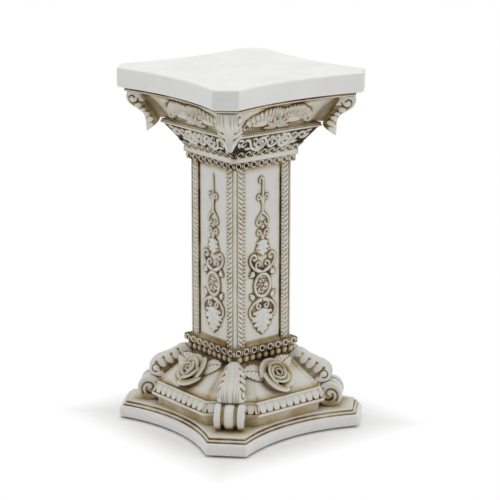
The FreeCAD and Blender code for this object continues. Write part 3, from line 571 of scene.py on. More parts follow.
def plan(half, cut, hollow, soft):
    """Outline of a square with cut corners and hollowed sides: one softened quarter, turned four times.

    A side is the arc through its two ends and a middle that lies hollow further in. Each corner is a
    parabola from one edge to the other.
    """
    near = half - cut
    radius = (near ** 2 + hollow ** 2) / (2 * hollow)
    lean = math.asin(near / radius)
    reach = soft * math.tan((math.pi / 4 + lean) / 2)
    angle = np.linspace(-lean + reach / radius, lean - reach / radius, 30)
    side = np.stack([radius * np.sin(angle), hollow - half - radius + radius * np.cos(angle)], -1)
    first, second = np.array([near, -half]), np.array([half, -near])
    way = np.array([ROOT_HALF, ROOT_HALF])
    after = first + way * reach
    before = second - way * reach
    next_side = np.stack([-side[0, 1], side[0, 0]], -1)
    share = np.linspace(0, 1, 7)[1:, None]
    turn_in = bend(side[-1], first, after, share)
    edge = after + (before - after) * np.linspace(0, 1, 5)[1:, None]
    turn_out = bend(before, second, next_side, share)[:-1]
    x, y = np.concatenate([side, turn_in, edge, turn_out]).T
    return np.concatenate([np.stack(pair, -1) for pair in ((x, y), (-y, x), (-x, -y), (y, -x))])


def slab(levels, half, cut, hollow, soft):
    """Closed slab: a level is an inset, a height and a wash, outlined by the plan drawn in by the inset."""
    rows = []
    for inset, height, _ in levels:
        loop = plan(half - inset, cut - inset * (2 - 2 * ROOT_HALF), hollow, max(soft - 0.6 * inset, 0.5))
        rows.append(np.column_stack([loop, np.full(len(loop), height)]))
    points = closed_at_axis(np.array(rows))
    stain_and_shade = repeated_ends(np.array([level[2] for level in levels]))
    return Piece().add(points, stain_and_shade[:, None], centre=points.mean((0, 1)), wrap=(False, True))


def rounded(inset, height, radius, angles, washes, count):
    """Levels of a rounding: points of a circle about an inset and a height.

    The angles, from straight out, and the washes run evenly from their first value to their last.
    """
    steps = zip(np.radians(np.linspace(*angles, count)), np.linspace(*washes, count))
    return [(inset - radius * math.cos(a), height + radius * math.sin(a), stain_and_shade) for a, stain_and_shade in steps]


def make_plinth():
    """Foot with a rounded edge and two thin steps; brown patina lies in the steps' grooves and over the top,
    and painted shade darkens the underside and the lower half of the rounded edge.
    """
    edge_middle = 4.6
    edge_rise = 3.8
    edge_depth = 2.4
    step_round = 0.4
    # Painted shade: the underside and the lower half of the rounded edge are darkened, as the contact shadow
    # under the foot.
    levels = [(3.2, 0.8, 0.5)]
    for angle in np.radians(np.linspace(-89.9, 89.9, 19)):
        inset = edge_depth - edge_depth * math.cos(angle) ** 0.8
        stain_and_shade = 0.4 * float(blend(angle, -0.9, -1.5))
        levels.append((inset, edge_middle + edge_rise * math.sin(angle), stain_and_shade))
    levels += [(2.55, 8.3, 0.8), (2.7, 8.45, 0.85), (2.7, 9.5, 0.3)]
    levels += rounded(3.1, 9.7, step_round, (0, 90), (0.12, 0.14), 4)
    levels += [(4.3, 10.1, 0.35), (4.62, 9.95, 0.85), (4.7, 10.15, 0.85), (4.7, 11.2, 0.3)]
    levels += rounded(5.1, PLINTH_TOP - step_round, step_round, (0, 90), (0.08, 0.1), 4)
    levels += [(6.4, PLINTH_TOP, 0.12), (7.6, PLINTH_TOP, 0.17), (10.0, PLINTH_TOP, 0.27),
               (16.0, PLINTH_TOP, 0.42)]
    slab(levels, PLINTH_HALF, cut=18.0, hollow=10.0, soft=2.8).finish("dressed_plinth", ["plinth"])


def make_plate():
    """Thin plate under the top, coloured dark brown as a painted shadow line under the top's edge."""
    edge_round = 0.4
    levels = [(9.0, BELL_TOP, 0.6), (3.3, BELL_TOP, 0.5)]
    levels += rounded(3.4, BELL_TOP + edge_round, edge_round, (-90, 0), (0.4, 0.22), 4)
    # The plate's upper edge is near-black brown: a painted shadow under the top.
    levels += [(3.0, 211.25, 0.2), (3.0, 211.45, 0.78), (3.05, 212.4, 0.95), (3.1, PLATE_TOP, 0.95)]
    slab(levels, TOP_HALF, cut=13.4, hollow=TOP_HOLLOW, soft=0.9).finish("dressed_plate", ["capital_plate"])


def make_top():
    """Plain top with softened edges."""
    edge_round = 1.4
    levels = [(1.6, PLATE_TOP, 0.0)]
    levels += rounded(edge_round, PLATE_TOP + edge_round, edge_round, (-90, 0), (0.0, 0.0), 7)
    levels += rounded(edge_round, SLAB_TOP - edge_round, edge_round, (0, 90), (0.0, 0.0), 9)
    levels += [(2.2, SLAB_TOP, 0.0)]
    top = slab(levels, TOP_HALF, cut=11.1, hollow=TOP_HOLLOW, soft=1.8)
    top.finish("dressed_top", ["top_slab"], CLEAN, "top_resin")


# Square courses

def finely(profile, step=0.3):
    """Profile points joined by straight runs, with more points set evenly along each run."""
    rows = [np.asarray(profile[0], float)[None]]
    for low, high in zip(profile[:-1], profile[1:]):
        low, high = np.asarray(low, float), np.asarray(high, float)
        count = max(1, int(np.linalg.norm((high - low)[:2]) / step))
        rows.append(low + (high - low) * np.linspace(0, 1, count + 1)[1:, None])
    return np.vstack(rows)


def profile_normals(profile):
    """Unit normals of a profile that runs upwards, away from the axis: their parts outwards and upwards."""
    slope = np.gradient(profile[:, :2], axis=0)
    length = np.maximum(np.linalg.norm(slope, axis=1), 1e-9)
    return (slope[:, 1] / length)[:, None], (-slope[:, 0] / length)[:, None]


def side_points(profile, relief, share):
    """One side of a square course: a profile of half widths and heights, pushed out along its normal.

    A share from -1 to 1 runs from corner to corner, so the lateral place is the share times the half width
    that the relief reaches.
    """
    out, up = profile_normals(profile)
    half = profile[:, :1] + relief * out
    height = profile[:, 1:2] + relief * up
    return grid(share * half, -half, height)


def ring_course(profile, relief, stain_and_shade, share, inner):
    """Four sides of a course round a core: the profile outside, a plain wall inside, and mitred corners."""
    front = side_points(profile, relief, share)
    wall = side_points(np.array([[inner, profile[-1, 1]], [inner, profile[0, 1]]]), 0.0, share)
    stain_and_shade = np.concatenate([np.broadcast_to(stain_and_shade, front.shape[:2]), np.ones(wall.shape[:2])])
    return four_turns(Piece().add(np.concatenate([front, wall]), stain_and_shade, wrap=(True, False), solid=True))


def core_course(profile):
    """Four sides of a solid course of half widths, heights and washes, closed at the axis at both ends."""
    front = side_points(profile, 0.0, np.linspace(-1, 1, 9)[None])
    stain_and_shade = repeated_ends(profile[:, 2])[:, None]
    return four_turns(Piece().add(closed_at_axis(front), stain_and_shade, outward=(0, -1, 0)))


def make_collars():
    """Recess behind the beads with the band above it, and the neck with its plain flat band."""
    base = finely([(23.6, BASE_TOP, 0.85), (23.6, COLLAR_FOOT, 0.95), (24.6, COLLAR_FOOT, 0.9),
                   (24.6, 54.2, 0.8), (24.3, COLLAR_TOP, 0.7)])
    core_course(base).finish("dressed_base_collar", ["base_collar"])
    neck = finely([(23.2, SHAFT_TOP, 0.9), (23.2, NECK_BAND_FOOT, 0.9), (24.9, NECK_BAND_FOOT, 0.7),
                   (25.2, 172.5, 0.18), (25.2, 173.2, 0.06), (25.2, 174.7, 0.06), (25.2, 175.3, 0.2),
                   (24.9, NECK_TOP, 0.5)])
    core_course(neck).finish("dressed_neck_collar", ["neck_collar"])


def make_ring_band(name, node, foot, top, inner):
    """Row of open rings on each side: tori over bored holes, bars between them and a fillet above and below.

    Foot and top are the band's half width and level there. A ring, a pip inside it and a bar each stand out
    by the root of one less the squared distance from their middle.
    """
    cell = 0.2
    widths_per_side = 8.1
    ring_radius = 1.7
    ring_thickness = 0.47
    bore_radius = 1.25
    bore_depth = 0.3
    profile = finely([foot, top], step=cell)
    share = np.linspace(-1, 1, int(top[0] * 2 / cell))[None]
    u = share * profile[:, :1]
    v = np.broadcast_to(profile[:, 1:2] - (foot[1] + top[1]) / 2, u.shape)
    pitch = foot[0] * 2 / widths_per_side
    number = np.clip(np.round(u / pitch - 0.5), -4, 3) + 0.5
    across = u - number * pitch
    radius = np.hypot(across, v)
    opening = 1 - 0.8 * np.exp(-((np.arctan2(v, across) + 0.6) / 0.3) ** 2)
    ring = 0.95 * np.sqrt(np.clip(1 - ((radius - ring_radius) / ring_thickness) ** 2, 0, 1)) * opening
    pip = 0.4 * np.sqrt(np.clip(1 - (np.hypot(across - 0.4, v + 0.1) / 0.36) ** 2, 0, 1))
    gap = pitch / 2 - np.abs(across)
    bar = 0.7 * np.sqrt(np.clip(1 - (gap / 0.42) ** 2 - (v / 1.8) ** 2, 0, 1))
    edge = (top[1] - foot[1]) / 2
    fillet = 0.35 * blend(np.abs(v), edge - 0.45, edge - 0.2)
    bore = np.where(radius < bore_radius, -bore_depth, 0.0)
    relief = np.maximum.reduce([ring, pip, bar, fillet]) + bore * (pip <= 0)
    in_bore = (radius < bore_radius + 0.05) * (1 - blend(relief, 0.25, 0.6))
    stain_and_shade = 0.08 + 0.74 * (1 - blend(relief, 0.15, 0.7)) + 0.5 * in_bore
    ring_course(profile, relief, stain_and_shade, share, inner).finish(name, [node])


def make_beads():
    """Eggs under the ring band: spheres drawn upwards, nine to a side, browned towards their seat, between
    them and at their tops as painted shade under the band.
    """
    bead_radius = 2.5
    bead_rise = 2.65
    bead_pitch = 5.1
    seat = 23.4
    level = 48.05
    turnover = np.linspace(0, np.pi, 11)[:, None]
    round_it = np.linspace(0, 2 * np.pi, 16, endpoint=False)[None]
    x = bead_radius * np.sin(turnover) * np.cos(round_it)
    y = bead_radius * np.sin(turnover) * np.sin(round_it)
    z = bead_rise * np.cos(turnover)
    # Painted shade: browner towards the seat, the sides and the top, under the ring band; only the front of
    # the lower half stays pale.
    stain_and_shade = 0.3 + 0.4 * blend(y, -2.3, -0.6) + 0.3 * blend(np.abs(x), 0.9, 2.2) + 0.3 * blend(z, 0.3, 2.0)
    row = Piece()
    for place in bead_pitch * (np.arange(9) - 4):
        row.add(grid(place + x, y - seat, level + z), stain_and_shade, wrap=(False, True), solid=True)
    four_turns(row).finish("dressed_bead_course", ["base_bead_course"])


def make_ledge_rope():
    """Ledge under the bell: a plain fillet, and above it a string of half eggs on a brown ground."""
    string_level = 191.8
    bead_pitch = 1.7
    bead_height = 0.75
    string_half = 35.0
    inner = 33.6
    profile = finely([(34.6, FRIEZE_TOP + 0.02), (35.3, FRIEZE_TOP + 0.25), (35.4, 190.9), (35.2, 191.15),
                      (34.7, 191.25), (34.7, 192.35), (34.2, LEDGE_TOP - 0.02)], step=0.19)
    share = np.linspace(-1, 1, 380)[None]
    u = share * string_half
    up = profile[:, 1:2] - string_level
    across = (u + bead_pitch / 2) % bead_pitch - bead_pitch / 2
    bead = np.sqrt(np.clip(1 - (across / 0.78) ** 2 - (up / 0.62) ** 2, 0, 1))
    stain_and_shade = 0.06 + blend(up, -0.75, -0.55) * (0.62 - 0.5 * bead)
    ring_course(profile, bead_height * bead, stain_and_shade, share, inner).finish("dressed_ledge_rope", ["ledge_rope"])


# Shaft

def arabesque(panel, crook):
    """Carve a panel's ornament from foot to head, at levels of the stand; a crook bends the head over."""
    panel.leaf((0, 77.0), (0, 60.4), width=7.4, height=1.5, lobes=4, veins=0.22)
    panel.leaf((0, 72.0), (0, 61.5), width=3.0, height=1.8, veins=0.2)
    for path, width in (
        ([(0.9, 83.2), (3.6, 82.4), (7.4, 80.2), (9.9, 76.8), (9.4, 73.2), (7.0, 71.4), (5.0, 72.2),
          (4.8, 74.2), (6.2, 75.0), (7.0, 74.2)], 0.85),
        ([(1.2, 82.0), (3.2, 81.6), (4.6, 79.6), (3.8, 77.4), (2.2, 77.4), (1.7, 78.8), (2.7, 79.6)], 0.75),
        ([(0.8, 100.8), (3.5, 101.3), (7.2, 103.8), (9.6, 107.6), (9.3, 110.8), (7.2, 112.2), (5.4, 111.2),
          (5.2, 109.4), (6.4, 108.6), (7.2, 109.4)], 0.85),
        ([(2.0, 101.5), (4.6, 103.0), (5.4, 105.2), (4.2, 107.0), (2.5, 106.8), (2.0, 105.4),
          (3.0, 104.6)], 0.75),
        ([(0.4, 122.0), (1.0, 124.6), (2.3, 127.0), (3.8, 126.9), (4.1, 125.2), (3.1, 124.2),
          (2.3, 124.9)], 0.65),
        ([(0.0, 138.6), (1.5, 137.2), (3.6, 134.9), (4.6, 132.7), (4.0, 130.9), (2.5, 130.5), (1.6, 131.5),
          (2.0, 132.5)], 0.7),
        ([(0.2, 143.6), (0.9, 146.4), (2.1, 149.0), (3.5, 149.4), (4.1, 147.9), (3.3, 146.6),
          (2.5, 147.2)], 0.6),
        ([(3.0, 113.0), (4.2, 114.6), (5.6, 114.2)], 0.5),
    ):
        panel.stroke(smooth_path(path), (width, width * 0.8), height=1.15)
    turn_round = np.radians(np.linspace(0, 360, 120))
    oval = np.stack([6.05 * np.cos(turn_round), MEDALLION_MIDDLE + 7.15 * np.sin(turn_round)], -1)
    panel.stroke(oval, width=0.95, height=1.3, mirrored=False)
    scatter = np.random.default_rng(SEED)
    for _ in range(46):
        angle, reach = scatter.uniform(0, 2 * np.pi), math.sqrt(scatter.uniform(0, 1))
        grain = (4.5 * reach * math.cos(angle), MEDALLION_MIDDLE + 5.6 * reach * math.sin(angle))
        panel.dome(grain, scatter.uniform(0.5, 0.85), scatter.uniform(0.35, 0.75), mirrored=False)
    for foot, tips in (((6.4, 98.6), ((7.6, 102.4), (9.2, 102.0), (10.4, 100.6), (10.6, 98.8))),
                       ((6.4, 85.6), ((10.6, 87.4), (10.6, 85.4), (9.8, 83.6), (8.2, 82.6)))):
        for tip in tips:
            panel.leaf(foot, tip, width=0.8, height=0.95, veins=0.1)
    panel.leaf((0, 121.2), (0, 110.8), width=4.8, height=1.4, lobes=3)
    panel.dome((0, 129.3), radii=(1.25, 1.1), height=1.3, mirrored=False)
    panel.stroke([(0, 131.0), (0, 121.0)], width=0.65, height=1.0, mirrored=False)
    head = [(0, 138.0), (0.1, 148.0), (0.3, 156.0)]
    if crook:
        head += [(0.1, 159.4), (-1.1, 160.4), (-2.2, 159.4), (-2.3, 157.8)]
        panel.stroke(smooth_path(head), width=(0.75, 0.6), height=1.1, mirrored=False)
        panel.dome((-2.2, 157.6), radii=0.75, height=1.1, mirrored=False)
    else:
        panel.stroke(smooth_path(head + [(0.1, 161.6)]), width=(0.85, 0.35), height=1.1, mirrored=False)


def make_panels():
    """Four panels: the arabesque, a sloped sill at the foot, and brown patina and painted shade in the
    carving and along the edges.
    """
    cell = 0.26
    sill_rise = 2.6
    lift_off_shaft = 0.05
    panel_rise = SHAFT_TOP - COLLAR_TOP
    u, v = np.meshgrid(np.linspace(-PANEL_HALF, PANEL_HALF, int(2 * PANEL_HALF / cell) + 1),
                       np.linspace(0, panel_rise, int(panel_rise / cell) + 1) + COLLAR_TOP)
    edge = PANEL_HALF - np.abs(u)
    sill = np.clip(sill_rise - (v - COLLAR_TOP), 0, None)
    in_medallion = np.hypot(u / 5.1, (v - MEDALLION_MIDDLE) / 6.2) < 1
    for k in QUARTERS:
        panel = Carving(u, v)
        arabesque(panel, crook=k % 2 == 1)
        stands = blend(panel.height, 0.05, 0.45)
        enclosed = blend(blurred(stands, 2.2 / cell), 0.24, 0.52) * (1 - stands)
        stain_and_shade = 0.02 + panel.stain_and_shade(cell, halo=1.0, depth=0.7) + 0.22 * panel.stain_and_shade(cell, halo=3.2, depth=0.8)
        stain_and_shade = (stain_and_shade + 0.4 * enclosed) * (1 - 0.35 * in_medallion)
        # Darker along the side edges where the panel meets the mouldings: patina and painted shade in the
        # corner.
        stain_and_shade += 0.85 * np.exp(-(edge / 0.5) ** 2) + 0.16 * np.exp(-edge / 1.4)
        stain_and_shade += 0.5 * blend(v, 58.2, 56.6) + 0.4 * blend(v, 162.5, SHAFT_TOP)
        relief = np.maximum(panel.height, sill) + lift_off_shaft
        front = grid(u, -SHAFT_HALF - relief, v)
        piece = Piece().closed(front, np.minimum(stain_and_shade, 0.78), at_ornament_back, (0, -1, 0))
        nodes = [f"shaft_ornament_{k + 1}"] + (["panel_sills"] if k == 0 else [])
        piece.turned(k).finish(f"carved_panel_{k + 1}", nodes)


def rope_leg():
    """Moulding on the right of a side: beads next to the panel, then a twisted rope next to the corner.

    A bead row is half eggs at an even pitch, and the rope a half round with a short slanting dent between
    its strands.
    """
    bead_place = 15.0
    bead_half = 1.0
    bead_pitch = 2.3
    rope_place = 18.0
    rope_half = 1.85
    rope_pitch = 3.15
    ground = 21.95
    across = np.linspace(PANEL_HALF, 20.9, 34)[None]
    up = np.linspace(COLLAR_TOP, SHAFT_TOP, 440)[:, None]
    bead_across = np.clip(1 - ((across - bead_place) / bead_half) ** 2, 0, 1)
    bead_up = np.abs(np.cos(np.pi * up / bead_pitch)) ** 0.8
    beads = 0.7 * np.sqrt(bead_across) * (0.2 + 0.8 * bead_up)
    from_rope = across - rope_place
    rope_across = np.clip(1 - (from_rope / rope_half) ** 2, 0, 1)
    twist = np.abs(np.cos(np.pi * (up - 0.9 * from_rope) / rope_pitch))
    dent = (1 - blend(twist, 0.1, 0.5)) * blend(np.abs(from_rope), 1.35, 0.7)
    rope = 0.8 * np.sqrt(rope_across) * (1 - 0.75 * dent)
    relief = np.maximum(beads, rope)
    stain_and_shade = 0.05 + 0.95 * dent + 0.55 * (1 - bead_up) * (bead_across > 0) + 0.1 * (1 - twist)
    stain_and_shade = stain_and_shade + 0.35 * (1 - blend(relief, 0.0, 0.25))
    stain_and_shade = stain_and_shade + 0.2 * blend(up, 161.0, SHAFT_TOP) + 0.2 * blend(up, 59.0, COLLAR_TOP)
    half = np.where(across < PANEL_HALF + 0.05, SHAFT_HALF - 0.1, ground + relief)
    # The strip beside the panel is dark: patina and painted shade in the corner with the panel.
    stain_and_shade = np.where(across < PANEL_HALF + 0.25, 0.9, stain_and_shade)
    return grid(across, -half, up), stain_and_shade


def make_corner_ropes():
    """Angle mouldings of the four corners: a leg on either side and a thin round bead on the edge itself."""
    bead_place = 21.25
    bead_radius = 1.0
    leg, stain_and_shade = rope_leg()
    angle = np.radians(np.linspace(0, 360, 20, endpoint=False))[None]
    up = np.linspace(COLLAR_TOP, SHAFT_TOP, 60)[:, None]
    x = bead_place + bead_radius * np.cos(angle)
    y = bead_radius * np.sin(angle) - bead_place
    bead = closed_at_middles(grid(x, y, up))
    bead_wash = 0.05 + 0.95 * blend(np.cos(angle + np.pi / 4), 0.5, 0.0)
    corner = Piece()
    corner.closed(leg, stain_and_shade, at_ornament_back, (0, -1, 0))
    corner.closed(over_diagonal(leg), stain_and_shade,
                  lambda rim: over_diagonal(at_ornament_back(over_diagonal(rim))), (1, 0, 0))
    corner.add(bead, bead_wash, wrap=(False, True), solid=True)
    for k in QUARTERS:
        corner.turned(k).finish(f"carved_corner_rope_{k or 4}", [f"corner_rope_{k or 4}"])


# Base

def side_end(half):
    """Half length of a base side, from where the cut corner's face meets it.

    That face is further from the axis than the side is, by a fixed offset.
    """
    return (half + CORNER_OFFSET) * 2 * ROOT_HALF - half


def base_quarter(profile):
    """A quarter of the base: a side between its cut corners, and the cut face to its right, as two grids."""
    half, height = profile[:, :1], profile[:, 1:2]
    end = side_end(half)
    share = np.linspace(-1, 1, 90)[None]
    cut_share = np.linspace(-1, 1, 9)[None]
    side = grid(share * end, -half, height)
    cut = on_corner(half + CORNER_OFFSET, cut_share * (half - end) * ROOT_HALF, height)
    return side, cut


def on_slope(along, up, out):
    """Points on the front slope: a way along the side, up the slope from its foot, and out from it."""
    half = SLOPE_FOOT_HALF - up * SLOPE_RUN / SLOPE_LENGTH + out * SLOPE_RISE / SLOPE_LENGTH
    height = SLOPE_FOOT + up * SLOPE_RISE / SLOPE_LENGTH + out * SLOPE_RUN / SLOPE_LENGTH
    return grid(along, -half, height)


def make_base_block():
    """Cove, fillets, ground of the leaf band and slope, with wash in the grooves and round the rose.

    The cove's half width is a straight line less a sine, and straight runs join the levels above it.
    """
    cove_rise = COVE_TOP - PLINTH_TOP
    cove = [(47.0 + 2.5 * t - 1.4 * math.sin(math.pi * t), PLINTH_TOP + cove_rise * t, 0.4 - 0.1 * t)
            for t in np.linspace(0, 1, 12)]
    profile = finely(cove + [
        (49.6, COVE_TOP, 0.35), (50.3, COVE_TOP, 0.2), (50.7, 18.9, 0.06), (50.7, 20.1, 0.08),
        (50.4, LEAF_BAND_FOOT, 0.4), (LEAF_BAND_FOOT_HALF, LEAF_BAND_FOOT, 0.9),
        (SLOPE_FOOT_HALF, LEAF_BAND_TOP, 0.9), (46.9, LEAF_BAND_TOP, 0.6), (47.3, 25.7, 0.08),
        (47.3, 26.9, 0.1), (47.0, SLOPE_FOOT, 0.4), (SLOPE_FOOT_HALF, SLOPE_FOOT, 0.75), (45.2, 27.98, 0.36),
        (42.5, 30.3, 0.08), (37.0, 35.04, 0.05), (31.0, 40.22, 0.26), (27.5, 43.24, 0.62),
        (SLOPE_TOP_HALF, BASE_TOP, 0.9)], step=0.7)
    level, stain_and_shade = profile[:, 1:2], profile[:, 2:3]
    side, cut = base_quarter(profile)
    up = (level - SLOPE_FOOT) * SLOPE_LENGTH / SLOPE_RISE
    from_rose = np.hypot(side[..., 0] - ROSE_ALONG, up - ROSE_UP)
    halo = 0.55 * np.exp(-((from_rose - 10.0) / 2.0) ** 2) * (up > 0)
    ends = 0.2 * blend(np.abs(side[..., 0]) / np.abs(side[:, -1:, 0]), 0.8, 1.0) * (up > 0.5)
    cut_wash = np.maximum(stain_and_shade, np.where(level > SLOPE_FOOT, 0.16, 0.34))
    quarter = Piece()
    for front, darkening in ((side, stain_and_shade + np.maximum(halo, ends)), (cut, cut_wash)):
        quarter.add(closed_at_axis(front), repeated_ends(darkening), outward=front.mean((0, 1)) * [1, 1, 0])
    four_turns(quarter).finish("dressed_base_block", ["base_block"])


def make_leaf_band():
    """Leaf strips on the base: fluted leaves that hang to a blunt point, dark only between their tips.

    One strip runs along a side, and a short one crosses the cut corner behind the scroll. Across a leaf the
    relief falls as a high power of the way to its edge, and its flutes are a cosine.
    """
    flute_pitch = 1.3
    margin = 0.05
    profile = finely([(LEAF_BAND_FOOT_HALF, LEAF_BAND_FOOT + margin),
                      (SLOPE_FOOT_HALF, LEAF_BAND_TOP - margin)], step=0.25)
    half = profile[:, :1]
    out, up = profile_normals(profile)
    end = side_end(half)
    strip = Piece()
    for crosses, columns, reach, pitch, shift in ((False, 240, end - 0.3, 5.3, 0.0),
                                                  (True, 100, (half - end) * ROOT_HALF, 4.6, 12.2)):
        u = np.linspace(-1, 1, columns)[None] * reach
        v = np.broadcast_to(np.linspace(0, 1, len(profile))[:, None], u.shape)
        across = (np.abs(u) - shift + pitch / 2) % pitch - pitch / 2
        edge = pitch * 0.5 * np.clip(0.45 + 1.5 * v, 0, 1) ** 0.6
        body = np.clip(1 - np.abs(across / edge) ** 5, 0, 1) ** 0.4
        flute = 0.5 + 0.5 * np.cos(2 * np.pi * across / flute_pitch)
        relief = body * (0.95 + 0.12 * flute * blend(v, 0.1, 0.35)) * (0.75 + 0.3 * np.sin(np.pi * v))
        between = (1 - blend(body, 0.0, 0.75)) * (0.4 + 0.6 * blend(v, 0.6, 0.25))
        stain_and_shade = 0.06 + 0.92 * between + 0.1 * (1 - flute) + 0.5 * blend(v, 0.93, 1.0)
        level = profile[:, 1:2] + relief * up
        if crosses:
            front = on_corner(half + CORNER_OFFSET + relief * out, u, level)
            strip.closed(front, stain_and_shade, lambda rim: rim + on_corner(-1.5, 0.0, -1.0), on_corner(1.0, 0.0, 0.0))
        else:
            front = grid(u, -half - relief * out, level)
            strip.closed(front, stain_and_shade, lambda rim: rim + [0, 1.5, -1.0], (0, -1, 0))
    four_turns(strip).finish("carved_leaf_band", ["base_leaf_band"])


def wound_groove(along, up, way, start_angle, start_reach, pitch, turns, breadth, starts=1):
    """Share of a wound groove at places round a volute's eye, 1 in the groove and 0 away from it.

    The groove starts at a reach and an angle, comes in by a pitch at every turn, and a bell curve gives its
    breadth. Where it has several starts they are spread evenly. Way is 1 or -1, for the sense of its turns.
    """
    reach, angle = np.hypot(along, up), np.arctan2(up, along)
    share = np.zeros(np.broadcast(along, up).shape)
    for start in range(starts):
        for whole in range(int(turns) + 1):
            turned = (way * (angle - np.radians(start_angle)) / (2 * np.pi) + start / starts) % 1 + whole
            from_line = (reach - start_reach + pitch * turned) / breadth
            held = blend(turned, 0, 0.06) * blend(turned, turns, turns - 0.08)
            share = np.maximum(share, np.exp(-from_line ** 2) * held)
    return share


def volute(centre, radius, half_width, bead, roll, depth, groove):
    """Volute across the corner: a turned body with a wound groove in its cheeks and a roll round its rim.

    Bead is the width of the rim's two edge beads, and roll the half width of the roll between them.
    """
    soft = 1.3
    angle = np.linspace(0, 2 * np.pi, 96, endpoint=False)[None]
    reach = np.linspace(0, radius - soft, int(7 * radius))[:, None] + 0 * angle
    cut = wound_groove(reach * np.cos(angle), reach * np.sin(angle), **groove)
    cheek = half_width - depth * cut
    # Painted shade: the wound groove in the cheeks is darkened.
    cheek_groove_shade = 0.06 + 0.62 * cut ** 1.3
    hem = np.radians(np.linspace(15, 90, 6))[:, None]
    hem_reach = radius - soft * (1 - np.sin(hem)) + 0 * angle
    hem_side = half_width - soft * (1 - np.cos(hem)) + 0 * angle
    hem_wash = np.full(hem_side.shape, 0.05)
    lateral = np.linspace(half_width - soft, soft - half_width, 80)[1:-1, None]
    inside = (half_width - bead - np.abs(lateral)) / (half_width - bead - roll)
    on_roll = np.abs(lateral) < roll
    from_roll = np.clip(1 - (lateral / roll) ** 2, 0, 1)
    rim = np.where(inside < 0, radius - 0.5 * blend(inside, -0.3, 0.0), radius - 1.5)
    rim = np.where(on_roll, radius - 1.1 + 0.8 * from_roll ** 0.5, rim) + 0 * angle
    rim_wash = np.where((inside > 0) & (inside < 1), 0.55, 0.02)
    rim_wash = rim_wash + 0.25 * on_roll * (1 - from_roll) ** 2 + 0 * angle
    # Painted shade: the lower side of the volute is darkened.
    under = 0.45 * blend(np.sin(angle), -0.3, -0.9)
    sizes = np.concatenate([reach, hem_reach, rim, hem_reach[::-1], reach[::-1]])
    sides = np.concatenate([cheek, hem_side, lateral + 0 * angle, -hem_side[::-1], -cheek[::-1]])
    stain_and_shade = np.concatenate([cheek_groove_shade, hem_wash, rim_wash, hem_wash, cheek_groove_shade[::-1]]) + under
    skin = on_corner(centre[0] + sizes * np.cos(angle), sides, centre[1] + sizes * np.sin(angle))
    return Piece().add(skin, stain_and_shade, wrap=(False, True), solid=True)


def make_base_scrolls():
    """Large volutes on the plinth's corners, their cheeks wound by two grooves."""
    groove = dict(way=1, start_angle=-58.0, start_reach=5.95, pitch=5.9, turns=0.8, breadth=0.75, starts=2)
    scroll = volute((57.1, 19.7), radius=8.0, half_width=9.2, bead=3.9, roll=2.9, depth=1.2, groove=groove)
    finish_four(scroll, "carved_base_scroll", "base_corner_scroll")


def wrapped_leaf(outer, inner, widths, lobes, lean, lobed, fluted, carve, edge, shoulders, hollow, eye,
                 groove):
    """Acanthus leaf bent over a ridge, from an outer path to an inner one.

    Across it an angle runs a quarter turn either way. The half width follows the angle's sine and the way
    inwards one less its cosine, both made squarer by a power. Down its middle, as far as the shoulder, run
    flutes, deep near one place. Over the lobed part of its length the sides are rounded lobes, parted by
    furrows that end in a hole, and past the lobes' tips the side falls back. Its end is curled, which a
    wound groove round the eye shows on both cheeks.
    """
    squareness = 0.65
    outer, inner = smooth_path(outer, per=16), smooth_path(inner, per=16)
    step = np.linalg.norm(np.diff(outer, axis=0), axis=1)
    along = np.concatenate([[0], np.cumsum(step)])[:, None]
    along = along / along[-1]
    width = np.interp(np.linspace(0, 1, len(outer)), np.linspace(0, 1, len(widths)), widths)[:, None]
    angle = np.linspace(-np.pi / 2, np.pi / 2, 161)[None]
    off = np.abs(angle) / (np.pi / 2)
    across = np.sign(angle) * np.abs(np.sin(angle)) ** squareness
    inwards = 1 - np.cos(angle) ** squareness
    shoulder = shoulders[0] + (shoulders[1] - shoulders[0]) * blend(along, 0.42, 0.6)
    phase = lobes * along - lean * (off - shoulder)
    lobe = np.abs(np.sin(np.pi * phase)) ** 0.5
    held = blend(along, lobed[0], lobed[0] + 0.07) * blend(along, lobed[1], lobed[1] - 0.07)
    hang = blend(off, shoulder, shoulder + 0.12) * held
    flute = 0.5 + 0.5 * np.cos(6 * np.pi * np.minimum(off / shoulder, 1))
    deep = 0.1 + 0.5 * np.exp(-((along - fluted[0]) / fluted[1]) ** 2)
    gap = np.abs((phase + 0.5) % 1 - 0.5)
    hole = np.exp(-(gap / 0.16) ** 2) * np.exp(-((off - shoulder - 0.05) / 0.05) ** 2) * held
    vein = np.exp(-((0.5 - gap) / 0.07) ** 2) * hang
    tips = edge + 0.17 * np.abs(np.sin(np.pi * phase)) ** 0.8
    back = blend(off, tips, tips + 0.04) * held
    taper = np.sin(np.pi * np.clip(along, 0.04, 0.96)) ** 0.35
    cuts = 0.7 * (lobe - 1) * hang - deep * (1 - flute) - 0.7 * hole - 0.15 * vein
    relief = carve * taper * cuts - hollow * back
    way = inner - outer
    length = np.maximum(np.linalg.norm(way, axis=1, keepdims=True), 1e-6)
    drop = inwards - relief * np.cos(angle) / length
    reach, height = outer[:, :1] + way[:, :1] * drop, outer[:, 1:2] + way[:, 1:2] * drop
    wound = wound_groove(reach - eye[0], height - eye[1], **groove) * blend(off, 0.42, 0.55)
    lateral = (width + relief * np.abs(np.sin(angle)) - 0.9 * wound) * across
    stain_and_shade = 0.04 + taper * (0.55 * (1 - lobe) * hang + 0.9 * hole + deep * (1 - flute) ** 2 + 0.12 * vein)
    # Past the lobes' tips the fallen-back side is browned: patina and painted shade behind the lobes.
    stain_and_shade = np.maximum(np.maximum(stain_and_shade, 0.56 * back), 0.9 * wound)
    skin = closed_at_middles(on_corner(reach, lateral, height))
    return Piece().add(skin, repeated_ends(stain_and_shade), wrap=(False, True), solid=True)


